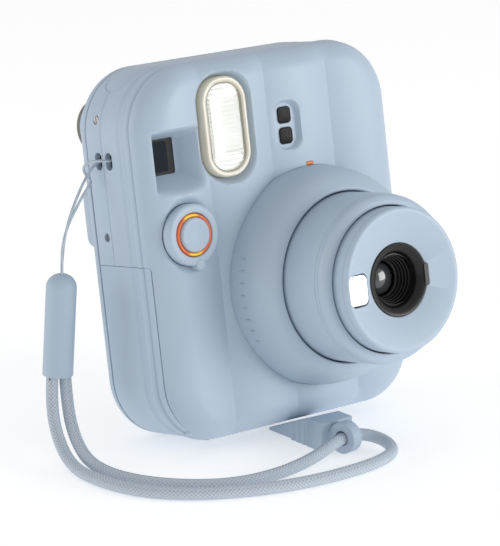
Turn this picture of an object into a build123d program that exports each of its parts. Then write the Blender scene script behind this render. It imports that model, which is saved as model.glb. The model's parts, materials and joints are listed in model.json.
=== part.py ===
from build123d import *
from math import cos, pi, radians, sin, tan
import os

# Instant camera standing on its angle wedge, in millimetres.
# Every camera piece is drawn upright first: X to the right as the front is faced, the lens
# looks along -Y, Z is up, X = 0 is the middle of the body and Z = 0 is its flat bottom.
# stand() then leans each piece back onto the wedge. Strap pieces are drawn where they lie.

# ---- whole body -------------------------------------------------------------------------
BODY_W = 104.0            # width of the body
BODY_H = 122.0            # height of the body
CORNER_R = 21.0           # corner radius of the outline, seen from the front
WALL = 2.0                # moulded wall
SKIN_GAP = 0.3            # clearance between bodies that move past each other
TRIM_GAP = 0.1            # seam round a fixed inlay
FRONT_Y = -18.5           # plane of the creases between the front lobes
LOBE_CROWN = 1.9          # how far a lobe bulges beyond the creases
LOBE_PITCH = 26.0         # distance between creases
ROLL_W = 12.0             # how far in from the side an outer lobe has its crown
ROLL_MID = (4.2, 3.0)     # point half way round the roll: in from the side, behind the crown
BAND_Y = -11.0            # where the side band ends and the lobed face begins
SEAM_Y = 2.8              # joint between the front cover and the rear housing
DOOR_Y = 11.4             # joint between the rear housing and the back
BACK_Y = 17.0             # plane of the back
BACK_EDGE_R = 5.0         # rounding of the back's rim
FACE_EDGE_R = 7.0         # rounding of the front face's top and bottom

# ---- how it stands ------------------------------------------------------------------------
LEAN_DEG = 10.0           # lean of the body on its wedge
HEEL_R = BACK_EDGE_R      # rounding of the rear bottom edge, on which it stands
HEEL_Y = BACK_Y - HEEL_R  # centre of that rounding
FOOTPRINT_SHIFT = 19.834   # from the rear contact line to the middle of the footprint

# ---- lens -----------------------------------------------------------------------------------
LENS_X, LENS_Z = 13.1, 46.8
RING_R = 36.4             # twist ring, at its base
RING_BASE_Y = -18.6
RING_LIP_Y = -36.6        # front lip of the twist ring
RING_BORE_R = 28.1
RING_WALL = 2.2
RING_LIP_W = 1.0          # flat width of the lip
GUIDE_R_IN, GUIDE_R_OUT = 28.1, 29.6
GUIDE_FRONT_Y, GUIDE_BACK_Y = -33.9, -12.0
GUIDE_FLANGE_R = 33.5
OUTER_R = 27.7            # outer barrel
OUTER_FRONT_Y, OUTER_BACK_Y = -56.5, -27.0
OUTER_EDGE_R = 2.6
INNER_R = 23.5            # inner barrel
INNER_FRONT_Y, INNER_BACK_Y = -63.0, -43.0
BARREL_WALL = 1.4
DISC_DISH = 2.5           # depth of the shallow cone in the front disc
BEZEL_R = 11.9
BEZEL_STEPS = 4
BEZEL_DEPTH = 11.0
GLASS_R = 5.4
MIRROR_X, MIRROR_Z, MIRROR_W, MIRROR_H, MIRROR_R = LENS_X - 18.0, LENS_Z - 0.5, 8.2, 9.8, 2.2
BLADE_X, BLADE_Z = LENS_X - 8.0, LENS_Z - 8.0       # pivot of the shutter blade

# ---- front furniture --------------------------------------------------------------------------
BUTTON_X, BUTTON_Z = -37.3, 68.3
TIMER_R_OUT, TIMER_R_IN = 10.0, 7.1
TIMER_FRONT_Y, TIMER_BACK_Y = -22.4, -19.0
TIMER_NUB_R = 1.9
GLOW_R_OUT, GLOW_R_IN = 6.8, 5.8
BUTTON_FRONT_Y = -23.4
FLASH_X, FLASH_Z, FLASH_W, FLASH_H, FLASH_R = -18.1, 100.4, 18.2, 32.8, 8.3
FLASH_GLASS_W, FLASH_GLASS_H, FLASH_GLASS_R = 14.0, 28.6, 6.2
FLASH_FRONT_Y, FLASH_GLASS_T = -20.0, 1.2
TROUGH_DEPTH, FLASH_TUBE_R = 8.0, 1.4
FINDER_X, FINDER_Z, FINDER_W, FINDER_H = -40.2, 93.5, 12.5, 11.8
FINDER_Y = -11.0
FINDER_MOUTH_X, FINDER_MOUTH_Z = -37.2, 92.1
FINDER_MOUTH_W, FINDER_MOUTH_H = 20.4, 20.4
SENSOR_X, SENSOR_Z, SENSOR_PITCH, SENSOR_SIZE = 6.5, 97.4, 6.8, 5.4
SENSOR_POCKET_W, SENSOR_POCKET_H = 9.6, 14.6
MARK_X, MARK_Z, MARK_W, MARK_H = LENS_X, 84.3, 2.9, 1.5

# ---- sides and back -----------------------------------------------------------------------------
EYE_X, EYE_Z, EYE_BOSS_R, EYE_RING_R = -36.8, 103.0, 11.0, 9.6
EYE_BOSS_Y, EYE_RING_Y = 21.5, 24.6
LUG_Z, LUG_H, LUG_HOLE_W = 93.7, 5.8, 3.6
LUG_FRONT_Y, LUG_REAR_Y = -0.5, 5.2
SCREW_SPOTS = ((5.4, 107.0), (5.4, 68.8))
SCREW_R, SCREW_SINK = 1.3, 0.9
DOOR_TOP_Z = 88.0         # top of the hinged back door
HINGE_R, HINGE_PIN_R = 1.7, 0.8
HINGE_X, HINGE_Y = BODY_W / 2 - HINGE_R, 13.5
HINGE_Z0, HINGE_Z1 = 26.0, 82.0
HINGE_EAR = 9.0
LATCH_X, LATCH_Z, LATCH_W, LATCH_H = -45.0, 74.0, 8.0, 20.0
LATCH_Y = 23.0
PACK_WINDOW_X, PACK_WINDOW_Z, PACK_WINDOW_W, PACK_WINDOW_H = 20.0, 62.0, 14.4, 20.4
COUNTER_X, COUNTER_Z, COUNTER_R = -12.0, 30.0, 6.4
LATCH_EDGE_R = 3.0        # rounding of the bump a finger pushes
BAY_X = -43.0             # inner edge of the battery door on the underside
BAY_TOP_Z = 59.5
BAY_FRONT_Y = -13.0
CELL_R, CELL_H, CELL_Z = 7.1, 49.6, 9.6
CELL_Y = -5.4
CELL_X = (-38.4, -23.9)
TRIM_X, TRIM_Y0, TRIM_Y1, TRIM_Z = 46.0, -4.0, 9.0, 112.0
FLAP_X0, FLAP_X1, FLAP_Y0, FLAP_Y1 = LENS_X - 27.5, LENS_X + 27.5, 0.6, 7.6
FLAP_HINGE_X1 = 30.0      # where its hinge barrel stops, before the shoulder
FLAP_TAIL_Y0, FLAP_TAIL_Y1 = 4.4, 7.0   # edges of the lid beyond the barrel
FLAP_TAIL_R = 1.2         # rounded end of the lid
FLAP_T = 1.4
FLAP_BARREL_R, FLAP_PIN_R, FLAP_PIN_GRIP = 1.2, 0.6, 1.8
FLAP_PIN_Y, FLAP_PIN_Z = FLAP_Y0 + FLAP_BARREL_R, BODY_H - FLAP_BARREL_R
FOOT_R, FOOT_H = 1.3, 0.8
FOOT_SPOTS = ((-31.6, -8.6), (21.1, -8.6))

# ---- inside ----------------------------------------------------------------------------------------
PACK_W, PACK_H, PACK_T, PACK_Z = 62.0, 96.0, 7.2, 52.5
PACK_Y = 7.2
FRAME_Y0, FRAME_Y1, FRAME_H = -8.0, 3.2, 68.0
ROLLER_R, ROLLER_L, ROLLER_Z = 2.6, 60.0, 107.0
ROLLER_Y = (2.2, 7.6)
ROLLER_SHAFT_R = 0.9
GEAR_MODULE = 0.45
GEAR_W = 2.2
ROLLER_TEETH, IDLER_TEETH, PINION_TEETH = 12, 24, 12
GEAR_X = 47.4 - GEAR_W

# ---- strap ------------------------------------------------------------------------------------------
CAP_TOP = (-69.0, 6.0, 59.6)
CAP_BOTTOM = (-71.3, 6.0, 26.0)
CAP_R = 5.0
STRAP_R = 2.0             # braided cord
THREAD_R = 0.45           # thin cord
WEDGE_X0, WEDGE_X1 = -5.0, 7.9
WEDGE_TIP_Y, WEDGE_STEP_Y, WEDGE_CREST_Y, WEDGE_END_Y = -19.5, -32.0, -41.0, -48.0
WEDGE_TIP_H, WEDGE_CREST_H = 0.9, 9.8
WEDGE_INSET = 0.9         # how much narrower the thin tongue is
EYELET_AT = (1.2, -52.6, 5.2)
EYELET_R, EYELET_HOLE_R, EYELET_L = 5.2, 2.5, 4.2
EYELET_DIR = (-9.0, -1.9, 0.0)

# Route of the braided cord: out of the cap, down to the floor, along it, round and back
# through the wedge's eyelet, and home beside itself into the cap.
STRAP_ROUTE = [
    (-73.6, 5.8, 26.0), (-75.2, 4.4, 16.5), (-77.4, -2.4, 7.2), (-80.6, -14.5, 2.2),
    (-82.0, -30.0, 2.2), (-77.6, -46.5, 2.2), (-66.5, -59.0, 2.2), (-50.5, -67.5, 2.2),
    (-32.5, -72.3, 2.2), (-14.5, -73.2, 2.2), (1.0, -71.2, 2.2), (10.6, -66.6, 2.5),
    (12.8, -57.6, 3.6), (7.4, -51.6, 5.0), (-3.4, -53.6, 5.2), (-15.5, -57.8, 3.2),
    (-32.0, -60.8, 2.2), (-50.0, -60.0, 2.2), (-65.0, -50.0, 2.2), (-74.6, -34.0, 2.2),
    (-76.0, -18.0, 3.0), (-72.8, -5.4, 7.4), (-70.0, 2.8, 15.5), (-69.0, 5.2, 26.0),
]
# Route of the thin cord: up from the cap, in by the lug's rear hole, behind the bar, out by
# its front hole, once round itself as a hitch, and down again to the cap.
THREAD_ROUTE = [
    (-69.5, 5.4, 59.5), (-69.2, 5.2, 67.6), (-66.8, 5.4, 76.2), (-62.4, 6.4, 84.0),
    (-56.6, 8.0, 90.8), (-52.6, 8.8, 93.4), (-49.2, 8.4, 93.9), (-48.9, 3.4, 94.6),
    (-52.6, 3.1, 94.8), (-55.4, 5.6, 95.0), (-57.6, 9.6, 93.0), (-56.0, 11.2, 89.6),
    (-55.0, 8.4, 87.4), (-58.2, 5.6, 87.2), (-62.8, 5.4, 81.6), (-66.6, 6.6, 74.0),
    (-68.6, 6.8, 66.4), (-68.5, 6.6, 59.5),
]


# ---- helpers -----------------------------------------------------------------------------------------

def facing(x, z, y):
    """Plane that faces the viewer, so that a positive extrusion comes forward."""
    return Plane(origin=(x, y, z), x_dir=(1, 0, 0), z_dir=(0, -1, 0))


def slab(x, z, w, h, r, y_back, y_front):
    """Rounded rectangle seen from the front, from y_back forward to y_front."""
    return extrude(facing(x, z, y_back) * RectangleRounded(w, h, r), amount=y_back - y_front)


def disc(x, z, r, y_back, y_front):
    return extrude(facing(x, z, y_back) * Circle(r), amount=y_back - y_front)


def lens_disc(r, y_back, y_front):
    return disc(LENS_X, LENS_Z, r, y_back, y_front)


def lens_turned(profile):
    """Solid of revolution about the lens axis from (radius, y) points or edges."""
    face = make_face(Plane(origin=(LENS_X, 0, LENS_Z), x_dir=(1, 0, 0), z_dir=(0, 0, 1)) * profile)
    return revolve(face, Axis((LENS_X, 0, LENS_Z), (0, 1, 0)))


def block(x0, x1, y0, y1, z0, z1):
    centre = Pos((x0 + x1) / 2, (y0 + y1) / 2, (z0 + z1) / 2)
    return centre * Box(x1 - x0, y1 - y0, z1 - z0)


def along_x(r, x0, x1, y, z):
    plane = Plane(origin=(x0, y, z), x_dir=(0, 1, 0), z_dir=(1, 0, 0))
    return extrude(plane * Circle(r), amount=x1 - x0)


def along_z(r, x, y, z0, z1):
    return extrude(Plane(origin=(x, y, z0)) * Circle(r), amount=z1 - z0)


def outline(inset, y_back, y_front):
    """The body's outline, drawn in by inset."""
    return slab(0, BODY_H / 2, BODY_W - 2 * inset, BODY_H - 2 * inset, CORNER_R - inset,
                y_back, y_front)


def stand(piece):
    """Lean an upright camera piece back on its wedge and centre the footprint."""
    lean = Pos(0, 0, HEEL_R) * Rot(-LEAN_DEG, 0, 0) * Pos(0, -HEEL_Y, -HEEL_R)
    return Pos(0, FOOTPRINT_SHIFT, 0) * lean * piece


def lay(piece):
    """Place a strap piece, which is drawn from the rear contact line."""
    return Pos(0, FOOTPRINT_SHIFT, 0) * piece


# ---- covers --------------------------------------------------------------------------------------------

def lobed_block():
    """Front face seen from above: four shallow arcs between a rounded left and right edge."""
    half = BODY_W / 2
    crown_y = FRONT_Y - LOBE_CROWN
    roll = [Line((-half, SEAM_Y), (-half, BAND_Y)),
            ThreePointArc((-half, BAND_Y), (-half + ROLL_MID[0], crown_y + ROLL_MID[1]),
                          (-half + ROLL_W, crown_y)),
            ThreePointArc((-half + ROLL_W, crown_y), (-LOBE_PITCH - 6, crown_y + 0.6),
                          (-LOBE_PITCH, FRONT_Y))]
    middle = [ThreePointArc((-LOBE_PITCH, FRONT_Y), (-LOBE_PITCH / 2, crown_y), (0, FRONT_Y)),
              ThreePointArc((0, FRONT_Y), (LOBE_PITCH / 2, crown_y), (LOBE_PITCH, FRONT_Y))]
    far_roll = [edge.mirror(Plane.YZ) for edge in roll]
    back = [Line((half, SEAM_Y), (-half, SEAM_Y))]
    return extrude(make_face(Curve() + roll + middle + far_roll + back), amount=BODY_H)


def face_edge_block():
    """Front face seen from the side: rounded into the top and the bottom."""
    crown_y = FRONT_Y - LOBE_CROWN - 0.1
    plane = Plane(origin=(-BODY_W / 2, 0, 0), x_dir=(0, 1, 0), z_dir=(1, 0, 0))
    depth = SEAM_Y - crown_y
    shape = Pos((SEAM_Y + crown_y) / 2, BODY_H / 2) * Rectangle(depth, BODY_H)
    front_corners = shape.vertices().sort_by(Axis.X)[:2]
    return extrude(plane * fillet(front_corners, FACE_EDGE_R), amount=BODY_W)


def front_solid():
    return outline(0, SEAM_Y, FRONT_Y - LOBE_CROWN - 1) & lobed_block() & face_edge_block()


def finder_funnel(y_front):
    """Sloped recess in front of the finder window."""
    mouth = facing(FINDER_MOUTH_X, FINDER_MOUTH_Z, y_front) * RectangleRounded(
        FINDER_MOUTH_W, FINDER_MOUTH_H, 1.6)
    window = facing(FINDER_X, FINDER_Z, FINDER_Y) * RectangleRounded(FINDER_W, FINDER_H, 0.6)
    return loft([window, mouth])


def lug_hole(y):
    return block(-BODY_W / 2 - 1, -BODY_W / 2 + WALL + 1, y - LUG_HOLE_W / 2, y + LUG_HOLE_W / 2,
                 LUG_Z - LUG_H / 2, LUG_Z + LUG_H / 2)


def battery_door_zone(gap):
    """Space that the battery door takes out of the other covers."""
    corner = block(-BODY_W / 2 - 1, BAY_X + gap, BAY_FRONT_Y - gap, DOOR_Y + gap, -1,
                   BAY_TOP_Z + gap)
    return corner & (outline(-1, DOOR_Y + gap, BAY_FRONT_Y - gap)
                     - outline(WALL + gap, DOOR_Y + gap + 1, BAY_FRONT_Y - gap - 1))


def flap_tail(y0, y1, gap):
    """Upright prism of the lid's part beyond its barrel, with a rounded end."""
    x0, x1 = FLAP_HINGE_X1 - FLAP_TAIL_R * 2, FLAP_X1 + gap
    plan = Pos((x0 + x1) / 2, (y0 + y1) / 2, TRIM_Z) * RectangleRounded(
        x1 - x0, y1 - y0, FLAP_TAIL_R)
    return extrude(plan, amount=BODY_H + 1 - TRIM_Z)


def flap_slot():
    """Opening that the lid covers and prints leave by."""
    straight = block(FLAP_X0 - SKIN_GAP, FLAP_HINGE_X1 + SKIN_GAP, FLAP_Y0 - SKIN_GAP,
                     FLAP_Y1 + SKIN_GAP, TRIM_Z, BODY_H + 1)
    return straight + flap_tail(FLAP_TAIL_Y0 - SKIN_GAP, FLAP_Y1 + SKIN_GAP, SKIN_GAP)


def top_trim_zone(gap):
    """Space of the inlay along the top, which runs down over both shoulders."""
    strip = block(-TRIM_X - gap, TRIM_X + gap, TRIM_Y0 - gap, TRIM_Y1 + gap, TRIM_Z, BODY_H + 1)
    return strip - outline(WALL + 0.6, DOOR_Y, FRONT_Y)


def screw_hole(y, z):
    return along_x(SCREW_R + 0.4, -BODY_W / 2 - 1, -BODY_W / 2 + 1.6, y, z)


def front_cover():
    cavity = outline(WALL, SEAM_Y + 1, FRONT_Y + 3.2)
    shell = front_solid() - cavity
    shell += disc(BUTTON_X, BUTTON_Z, TIMER_R_OUT + 1.6, FRONT_Y + 3.4, TIMER_BACK_Y + 0.6)
    shell -= lens_disc(RING_R + SKIN_GAP, FRONT_Y + 0.4, FRONT_Y - 5)
    shell -= lens_disc(GUIDE_R_OUT + 0.2, SEAM_Y, FRONT_Y - 5)
    finder = slab(FINDER_X + 1.4, FINDER_Z - 0.6, FINDER_W + 8, FINDER_H + 8, 3,
                  FINDER_Y, FRONT_Y + 1)
    shell += finder & outline(WALL / 2, SEAM_Y, FRONT_Y)
    shell -= finder_funnel(FRONT_Y - LOBE_CROWN - 0.2)
    shell -= slab(FLASH_X, FLASH_Z, FLASH_W + 0.2, FLASH_H + 0.2, FLASH_R, SEAM_Y, FRONT_Y - 5)
    shell -= disc(BUTTON_X, BUTTON_Z, TIMER_R_OUT + SKIN_GAP, TIMER_BACK_Y + SKIN_GAP, FRONT_Y - 5)
    shell -= disc(BUTTON_X, BUTTON_Z, GLOW_R_IN - 0.6, 0, FRONT_Y - 5)
    shell -= slab(SENSOR_X, SENSOR_Z, SENSOR_POCKET_W, SENSOR_POCKET_H, 4.2, FRONT_Y, FRONT_Y - 5)
    for side in (-1, 1):
        shell -= slab(SENSOR_X, SENSOR_Z + side * SENSOR_PITCH / 2, SENSOR_SIZE + 0.2,
                      SENSOR_SIZE + 0.2, 1.5, 0, FRONT_Y - 5)
    shell -= lug_hole(LUG_FRONT_Y)
    shell -= battery_door_zone(SKIN_GAP)
    shell -= top_trim_zone(TRIM_GAP)
    shell -= slab(MARK_X, MARK_Z, MARK_W, MARK_H, 0.5, FRONT_Y - 0.7, FRONT_Y - 5)
    for x, y in FOOT_SPOTS:
        shell -= along_z(FOOT_R, x, y, -1, 0.8)
    return shell


def rear_housing():
    """Middle of the casing, with the wall that closes the battery bay."""
    ring = outline(0, DOOR_Y, SEAM_Y + 0.02) - outline(WALL, DOOR_Y + 1, SEAM_Y - 1)
    ring -= lug_hole(LUG_REAR_Y)
    ring -= battery_door_zone(SKIN_GAP)
    ring -= top_trim_zone(TRIM_GAP)
    heel = outline(0, DOOR_Y, SEAM_Y)
    for y, z in SCREW_SPOTS:
        boss = block(-BODY_W / 2 + 0.5, -BODY_W / 2 + 4.4, y - 2.2, y + 2.2, z - 2.4, z + 2.4)
        ring += boss & heel
        ring -= screw_hole(y, z)
    return ring


def back_shape(y_back):
    """Outline of the back with its rim rounded."""
    plate = outline(0, y_back, DOOR_Y + 0.02)
    rim = plate.faces().sort_by(Axis.Y)[-1].edges()
    return fillet(rim, BACK_EDGE_R)


def rear_top_cover():
    """Fixed top of the back, which carries the eyepiece."""
    plate = back_shape(BACK_Y) - outline(WALL, BACK_Y - WALL, DOOR_Y - 1)
    top = plate & block(-60, 60, DOOR_Y - 1, BACK_Y + 1, DOOR_TOP_Z + SKIN_GAP, BODY_H + 1)
    boss = disc(EYE_X, EYE_Z, EYE_BOSS_R, EYE_BOSS_Y, BACK_Y - 1)
    boss = chamfer(boss.edges().sort_by(Axis.Y)[-1], 1.6)
    top += boss
    return top - disc(EYE_X, EYE_Z, EYE_RING_R - 2.0, EYE_BOSS_Y + 1, DOOR_Y - 1)


def hinge_knuckle(r, z0, z1):
    return along_z(r, HINGE_X, HINGE_Y, z0, z1)


def back_door():
    """Hinged door of the film chamber, with its middle hinge knuckle."""
    plate = back_shape(BACK_Y) - outline(WALL, BACK_Y - WALL, DOOR_Y - 1)
    plate &= block(-60, 60, DOOR_Y - 1, BACK_Y + 1, -1, DOOR_TOP_Z)
    plate -= block(HINGE_X, 60, 0, 30, -1, DOOR_TOP_Z + 1)
    plate -= block(-60, 60, DOOR_Y, DOOR_Y + SKIN_GAP, -1, DOOR_TOP_Z + 1)
    for z0, z1 in ((HINGE_Z0 - SKIN_GAP, HINGE_Z0 + HINGE_EAR + SKIN_GAP),
                   (HINGE_Z1 - HINGE_EAR - SKIN_GAP, HINGE_Z1 + SKIN_GAP)):
        plate -= hinge_knuckle(HINGE_R + SKIN_GAP, z0, z1)
    plate += hinge_knuckle(HINGE_R, HINGE_Z0 + HINGE_EAR + SKIN_GAP, HINGE_Z1 - HINGE_EAR - SKIN_GAP)
    plate -= hinge_knuckle(HINGE_PIN_R + 0.05, HINGE_Z0 - 1, HINGE_Z1 + 1)
    plate -= slab(PACK_WINDOW_X, PACK_WINDOW_Z, PACK_WINDOW_W, PACK_WINDOW_H, 2, BACK_Y + 1,
                  DOOR_Y)
    plate -= disc(COUNTER_X, COUNTER_Z, COUNTER_R / 2, BACK_Y + 1, DOOR_Y)
    plate -= slab(LATCH_X, LATCH_Z, LATCH_W - 2.4, LATCH_H - 2, 2, BACK_Y + 1, DOOR_Y)
    return plate


def hinge_ears():
    """Two outer knuckles of the door hinge, on a rib that the housing carries."""
    ears = Part()
    for z0 in (HINGE_Z0, HINGE_Z1 - HINGE_EAR):
        foot = block(HINGE_X - 0.4, BODY_W / 2 - 0.2, DOOR_Y, HINGE_Y, z0, z0 + HINGE_EAR)
        ears += hinge_knuckle(HINGE_R, z0, z0 + HINGE_EAR) + foot
    ears -= block(0, 60, 0, DOOR_Y + 0.02, 0, BODY_H)
    return ears - hinge_knuckle(HINGE_PIN_R, HINGE_Z0 - 1, HINGE_Z1 + 1)


def hinge_pin():
    return hinge_knuckle(HINGE_PIN_R, HINGE_Z0 + 0.2, HINGE_Z1 - 0.2)


def door_latch():
    """Sliding catch on the door: a ridged bump outside and a tongue inside."""
    bump = slab(LATCH_X, LATCH_Z, LATCH_W, LATCH_H, LATCH_EDGE_R + 0.5, LATCH_Y, BACK_Y + SKIN_GAP)
    bump = fillet(bump.faces().sort_by(Axis.Y)[-1].edges(), LATCH_EDGE_R)
    neck = slab(LATCH_X, LATCH_Z, LATCH_W - 3.4, LATCH_H - 9, 1.5, BACK_Y + SKIN_GAP + 0.1,
                BACK_Y - WALL - 1.2)
    for step in range(4):
        z = LATCH_Z - 4.5 + 3 * step
        bump -= block(LATCH_X - 0.9, LATCH_X + 0.9, LATCH_Y - 0.5, LATCH_Y + 1, z - 0.5, z + 0.5)
    return bump + neck


def pack_window():
    return slab(PACK_WINDOW_X, PACK_WINDOW_Z, PACK_WINDOW_W - 0.2, PACK_WINDOW_H - 0.2, 1.9,
                BACK_Y - 0.3, BACK_Y - 1.7)


def counter_dial():
    dial = disc(COUNTER_X, COUNTER_Z, COUNTER_R, BACK_Y - WALL - 0.4, BACK_Y - WALL - 1.6)
    return dial - disc(COUNTER_X, COUNTER_Z, 1.05, BACK_Y, DOOR_Y)


def counter_post():
    """Stud the counting dial turns on, held by a bridge under the dial."""
    span, half = COUNTER_R + 2.6, 1.6
    z0, z1 = COUNTER_Z - half, COUNTER_Z + half
    top, front = BACK_Y - WALL - 2.0, BACK_Y - WALL - 3.2
    bridge = block(COUNTER_X - span, COUNTER_X + span, front, top, z0, z1)
    feet = block(COUNTER_X - span, COUNTER_X - span + half, top - 0.2, BACK_Y - WALL - 0.02, z0, z1)
    feet += block(COUNTER_X + span - half, COUNTER_X + span, top - 0.2, BACK_Y - WALL - 0.02, z0, z1)
    return bridge + feet + disc(COUNTER_X, COUNTER_Z, 1.0, BACK_Y - WALL - 0.5, BACK_Y - WALL - 2.2)


def battery_door():
    """Lift-off door round the lower corner on the grip side."""
    zone = battery_door_zone(0) & (outline(0, DOOR_Y, BAY_FRONT_Y))
    return zone - block(-60, 60, DOOR_Y - 0.1, DOOR_Y + 1, -1, BODY_H)


def battery_tray():
    """Open tray that holds both cells, with its end walls."""
    x0, x1 = CELL_X[0] - CELL_R - 0.4, CELL_X[1] + CELL_R + 0.4
    z0, z1 = CELL_Z - 2.4, CELL_Z + CELL_H + 2.4
    inner_back = CELL_Y + CELL_R
    tray = block(x0, x1, inner_back + 0.1, inner_back + 1.1, z0, z1)
    tray += block(x1 - 0.02, x1 + 1.0, CELL_Y - 3, inner_back + 1.1, z0, z1)
    for z in (z0, z1 - 1.2):
        tray += block(x0, x1 + 1.0, CELL_Y - 3, inner_back + 1.1, z, z + 1.2)
    return tray & outline(WALL + 0.6, SEAM_Y + 3, FRONT_Y + 4)


def battery(x):
    body = along_z(CELL_R, x, CELL_Y, CELL_Z, CELL_Z + CELL_H - 1.2)
    return body + along_z(2.6, x, CELL_Y, CELL_Z + CELL_H - 1.3, CELL_Z + CELL_H)


def battery_contacts():
    plates = Part()
    for x in CELL_X:
        plates += block(x - 3, x + 3, CELL_Y - 2.8, CELL_Y + 3, CELL_Z + CELL_H + 0.3,
                        CELL_Z + CELL_H + 0.9)
        plates += block(x - 3, x + 3, CELL_Y - 2.8, CELL_Y + 3, CELL_Z - 0.9, CELL_Z - 0.3)
    return plates


def side_screws():
    screws = Part()
    for y, z in SCREW_SPOTS:
        head = along_x(SCREW_R, -BODY_W / 2 + SCREW_SINK, -BODY_W / 2 + 1.55, y, z)
        slot = block(-BODY_W / 2, -BODY_W / 2 + SCREW_SINK + 0.3, y - 0.25, y + 0.25, z - 1, z + 1)
        screws += head - slot
    return screws


def feet():
    pads = Part()
    for x, y in FOOT_SPOTS:
        pads += along_z(FOOT_R - 0.05, x, y, -FOOT_H, 0.75)
    return pads


# ---- finder, flash and sensors -----------------------------------------------------------------------

def eyepiece_ring():
    ring = disc(EYE_X, EYE_Z, EYE_RING_R, EYE_RING_Y, EYE_BOSS_Y + 0.02)
    ring = fillet(ring.edges().sort_by(Axis.Y)[-1], 1.2)
    return ring - disc(EYE_X, EYE_Z, EYE_RING_R - 3.2, EYE_RING_Y + 1, EYE_BOSS_Y - 1)


def eyepiece_lens():
    return disc(EYE_X, EYE_Z, EYE_RING_R - 2.2, EYE_BOSS_Y - 0.6, EYE_BOSS_Y - 2.4)


def finder_tube():
    """Tapered tube from the finder window up to the eyepiece."""
    front = facing(FINDER_X, FINDER_Z, FINDER_Y + 2.2) * Rectangle(FINDER_W + 1, FINDER_H + 1)
    rear = facing(EYE_X, EYE_Z, DOOR_Y) * Rectangle(14, 14)
    front_hole = facing(FINDER_X, FINDER_Z, FINDER_Y + 2.1) * Rectangle(FINDER_W - 1, FINDER_H - 1)
    rear_hole = facing(EYE_X, EYE_Z, DOOR_Y + 0.1) * Rectangle(12, 12)
    return loft([rear, front]) - loft([rear_hole, front_hole])


def finder_window():
    return slab(FINDER_X, FINDER_Z, FINDER_W + 1.6, FINDER_H + 1.6, 0.8, FINDER_Y + 1.6,
                FINDER_Y + 0.1)


def flash_bezel():
    """Deep cream frame round the flash glass."""
    frame = slab(FLASH_X, FLASH_Z, FLASH_W, FLASH_H, FLASH_R, FRONT_Y + 4, FLASH_FRONT_Y)
    frame = fillet(frame.faces().sort_by(Axis.Y)[0].edges(), 0.6)
    return frame - slab(FLASH_X, FLASH_Z, FLASH_GLASS_W, FLASH_GLASS_H, FLASH_GLASS_R,
                        FRONT_Y + 5, FLASH_FRONT_Y - 1)


def flash_glass():
    front = FLASH_FRONT_Y + 0.2
    return slab(FLASH_X, FLASH_Z, FLASH_GLASS_W - 0.1, FLASH_GLASS_H - 0.1, FLASH_GLASS_R,
                front + FLASH_GLASS_T, front)


def flash_reflector():
    """Trough behind the glass."""
    w, h = FLASH_GLASS_W - 1, FLASH_GLASS_H - 8
    front = FLASH_FRONT_Y + 1.9
    back = front + TROUGH_DEPTH
    outer = slab(FLASH_X, FLASH_Z, w, h, 1.5, back, front)
    mouth = facing(FLASH_X, FLASH_Z, front - 0.01) * Rectangle(w - 1.2, h - 1.2)
    floor = facing(FLASH_X, FLASH_Z, back - 1) * Rectangle(w - 7, h - 1.2)
    return outer - loft([floor, mouth])


def flash_tube():
    half = FLASH_GLASS_H / 2 - 5.3
    return along_z(FLASH_TUBE_R, FLASH_X + FLASH_TUBE_R, FLASH_FRONT_Y + 6.4, FLASH_Z - half,
                   FLASH_Z + half)


def flash_capacitor():
    return along_x(4.4, -2.0, 24.0, -6.0, 93.0)


def sensor_window(side):
    return slab(SENSOR_X, SENSOR_Z + side * SENSOR_PITCH / 2, SENSOR_SIZE, SENSOR_SIZE, 1.4,
                FRONT_Y + 1.2, FRONT_Y - 0.5)


def index_mark():
    return slab(MARK_X, MARK_Z, MARK_W - 0.04, MARK_H - 0.04, 0.48, FRONT_Y - 0.7,
                FRONT_Y - LOBE_CROWN - 0.15)


# ---- shutter button --------------------------------------------------------------------------------------

def timer_lever():
    """Ring round the button with a nub that picks the self-timer."""
    ring = disc(BUTTON_X, BUTTON_Z, TIMER_R_OUT, TIMER_BACK_Y, TIMER_FRONT_Y)
    ring = fillet(ring.edges().sort_by(Axis.Y)[0], 1.4)
    nub_x = BUTTON_X + TIMER_R_OUT * sin(radians(8))
    nub_z = BUTTON_Z - TIMER_R_OUT * cos(radians(8))
    ring += disc(nub_x, nub_z, TIMER_NUB_R, TIMER_BACK_Y - 2.0, TIMER_FRONT_Y - 0.2)
    return ring - disc(BUTTON_X, BUTTON_Z, TIMER_R_IN, TIMER_BACK_Y + 1, TIMER_FRONT_Y - 1)


def glow_ring():
    ring = disc(BUTTON_X, BUTTON_Z, GLOW_R_OUT, TIMER_BACK_Y + SKIN_GAP, TIMER_FRONT_Y - 0.1)
    return ring - disc(BUTTON_X, BUTTON_Z, GLOW_R_IN, TIMER_BACK_Y + 1, TIMER_FRONT_Y - 1)


def shutter_button():
    cap = disc(BUTTON_X, BUTTON_Z, GLOW_R_IN - 0.2, TIMER_BACK_Y - 1.1, BUTTON_FRONT_Y)
    cap = fillet(cap.edges().sort_by(Axis.Y)[0], 0.8)
    return cap + disc(BUTTON_X, BUTTON_Z, 2.6, FRONT_Y + 5.6, TIMER_BACK_Y - 1.2)


# ---- lens ----------------------------------------------------------------------------------------------------

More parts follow.
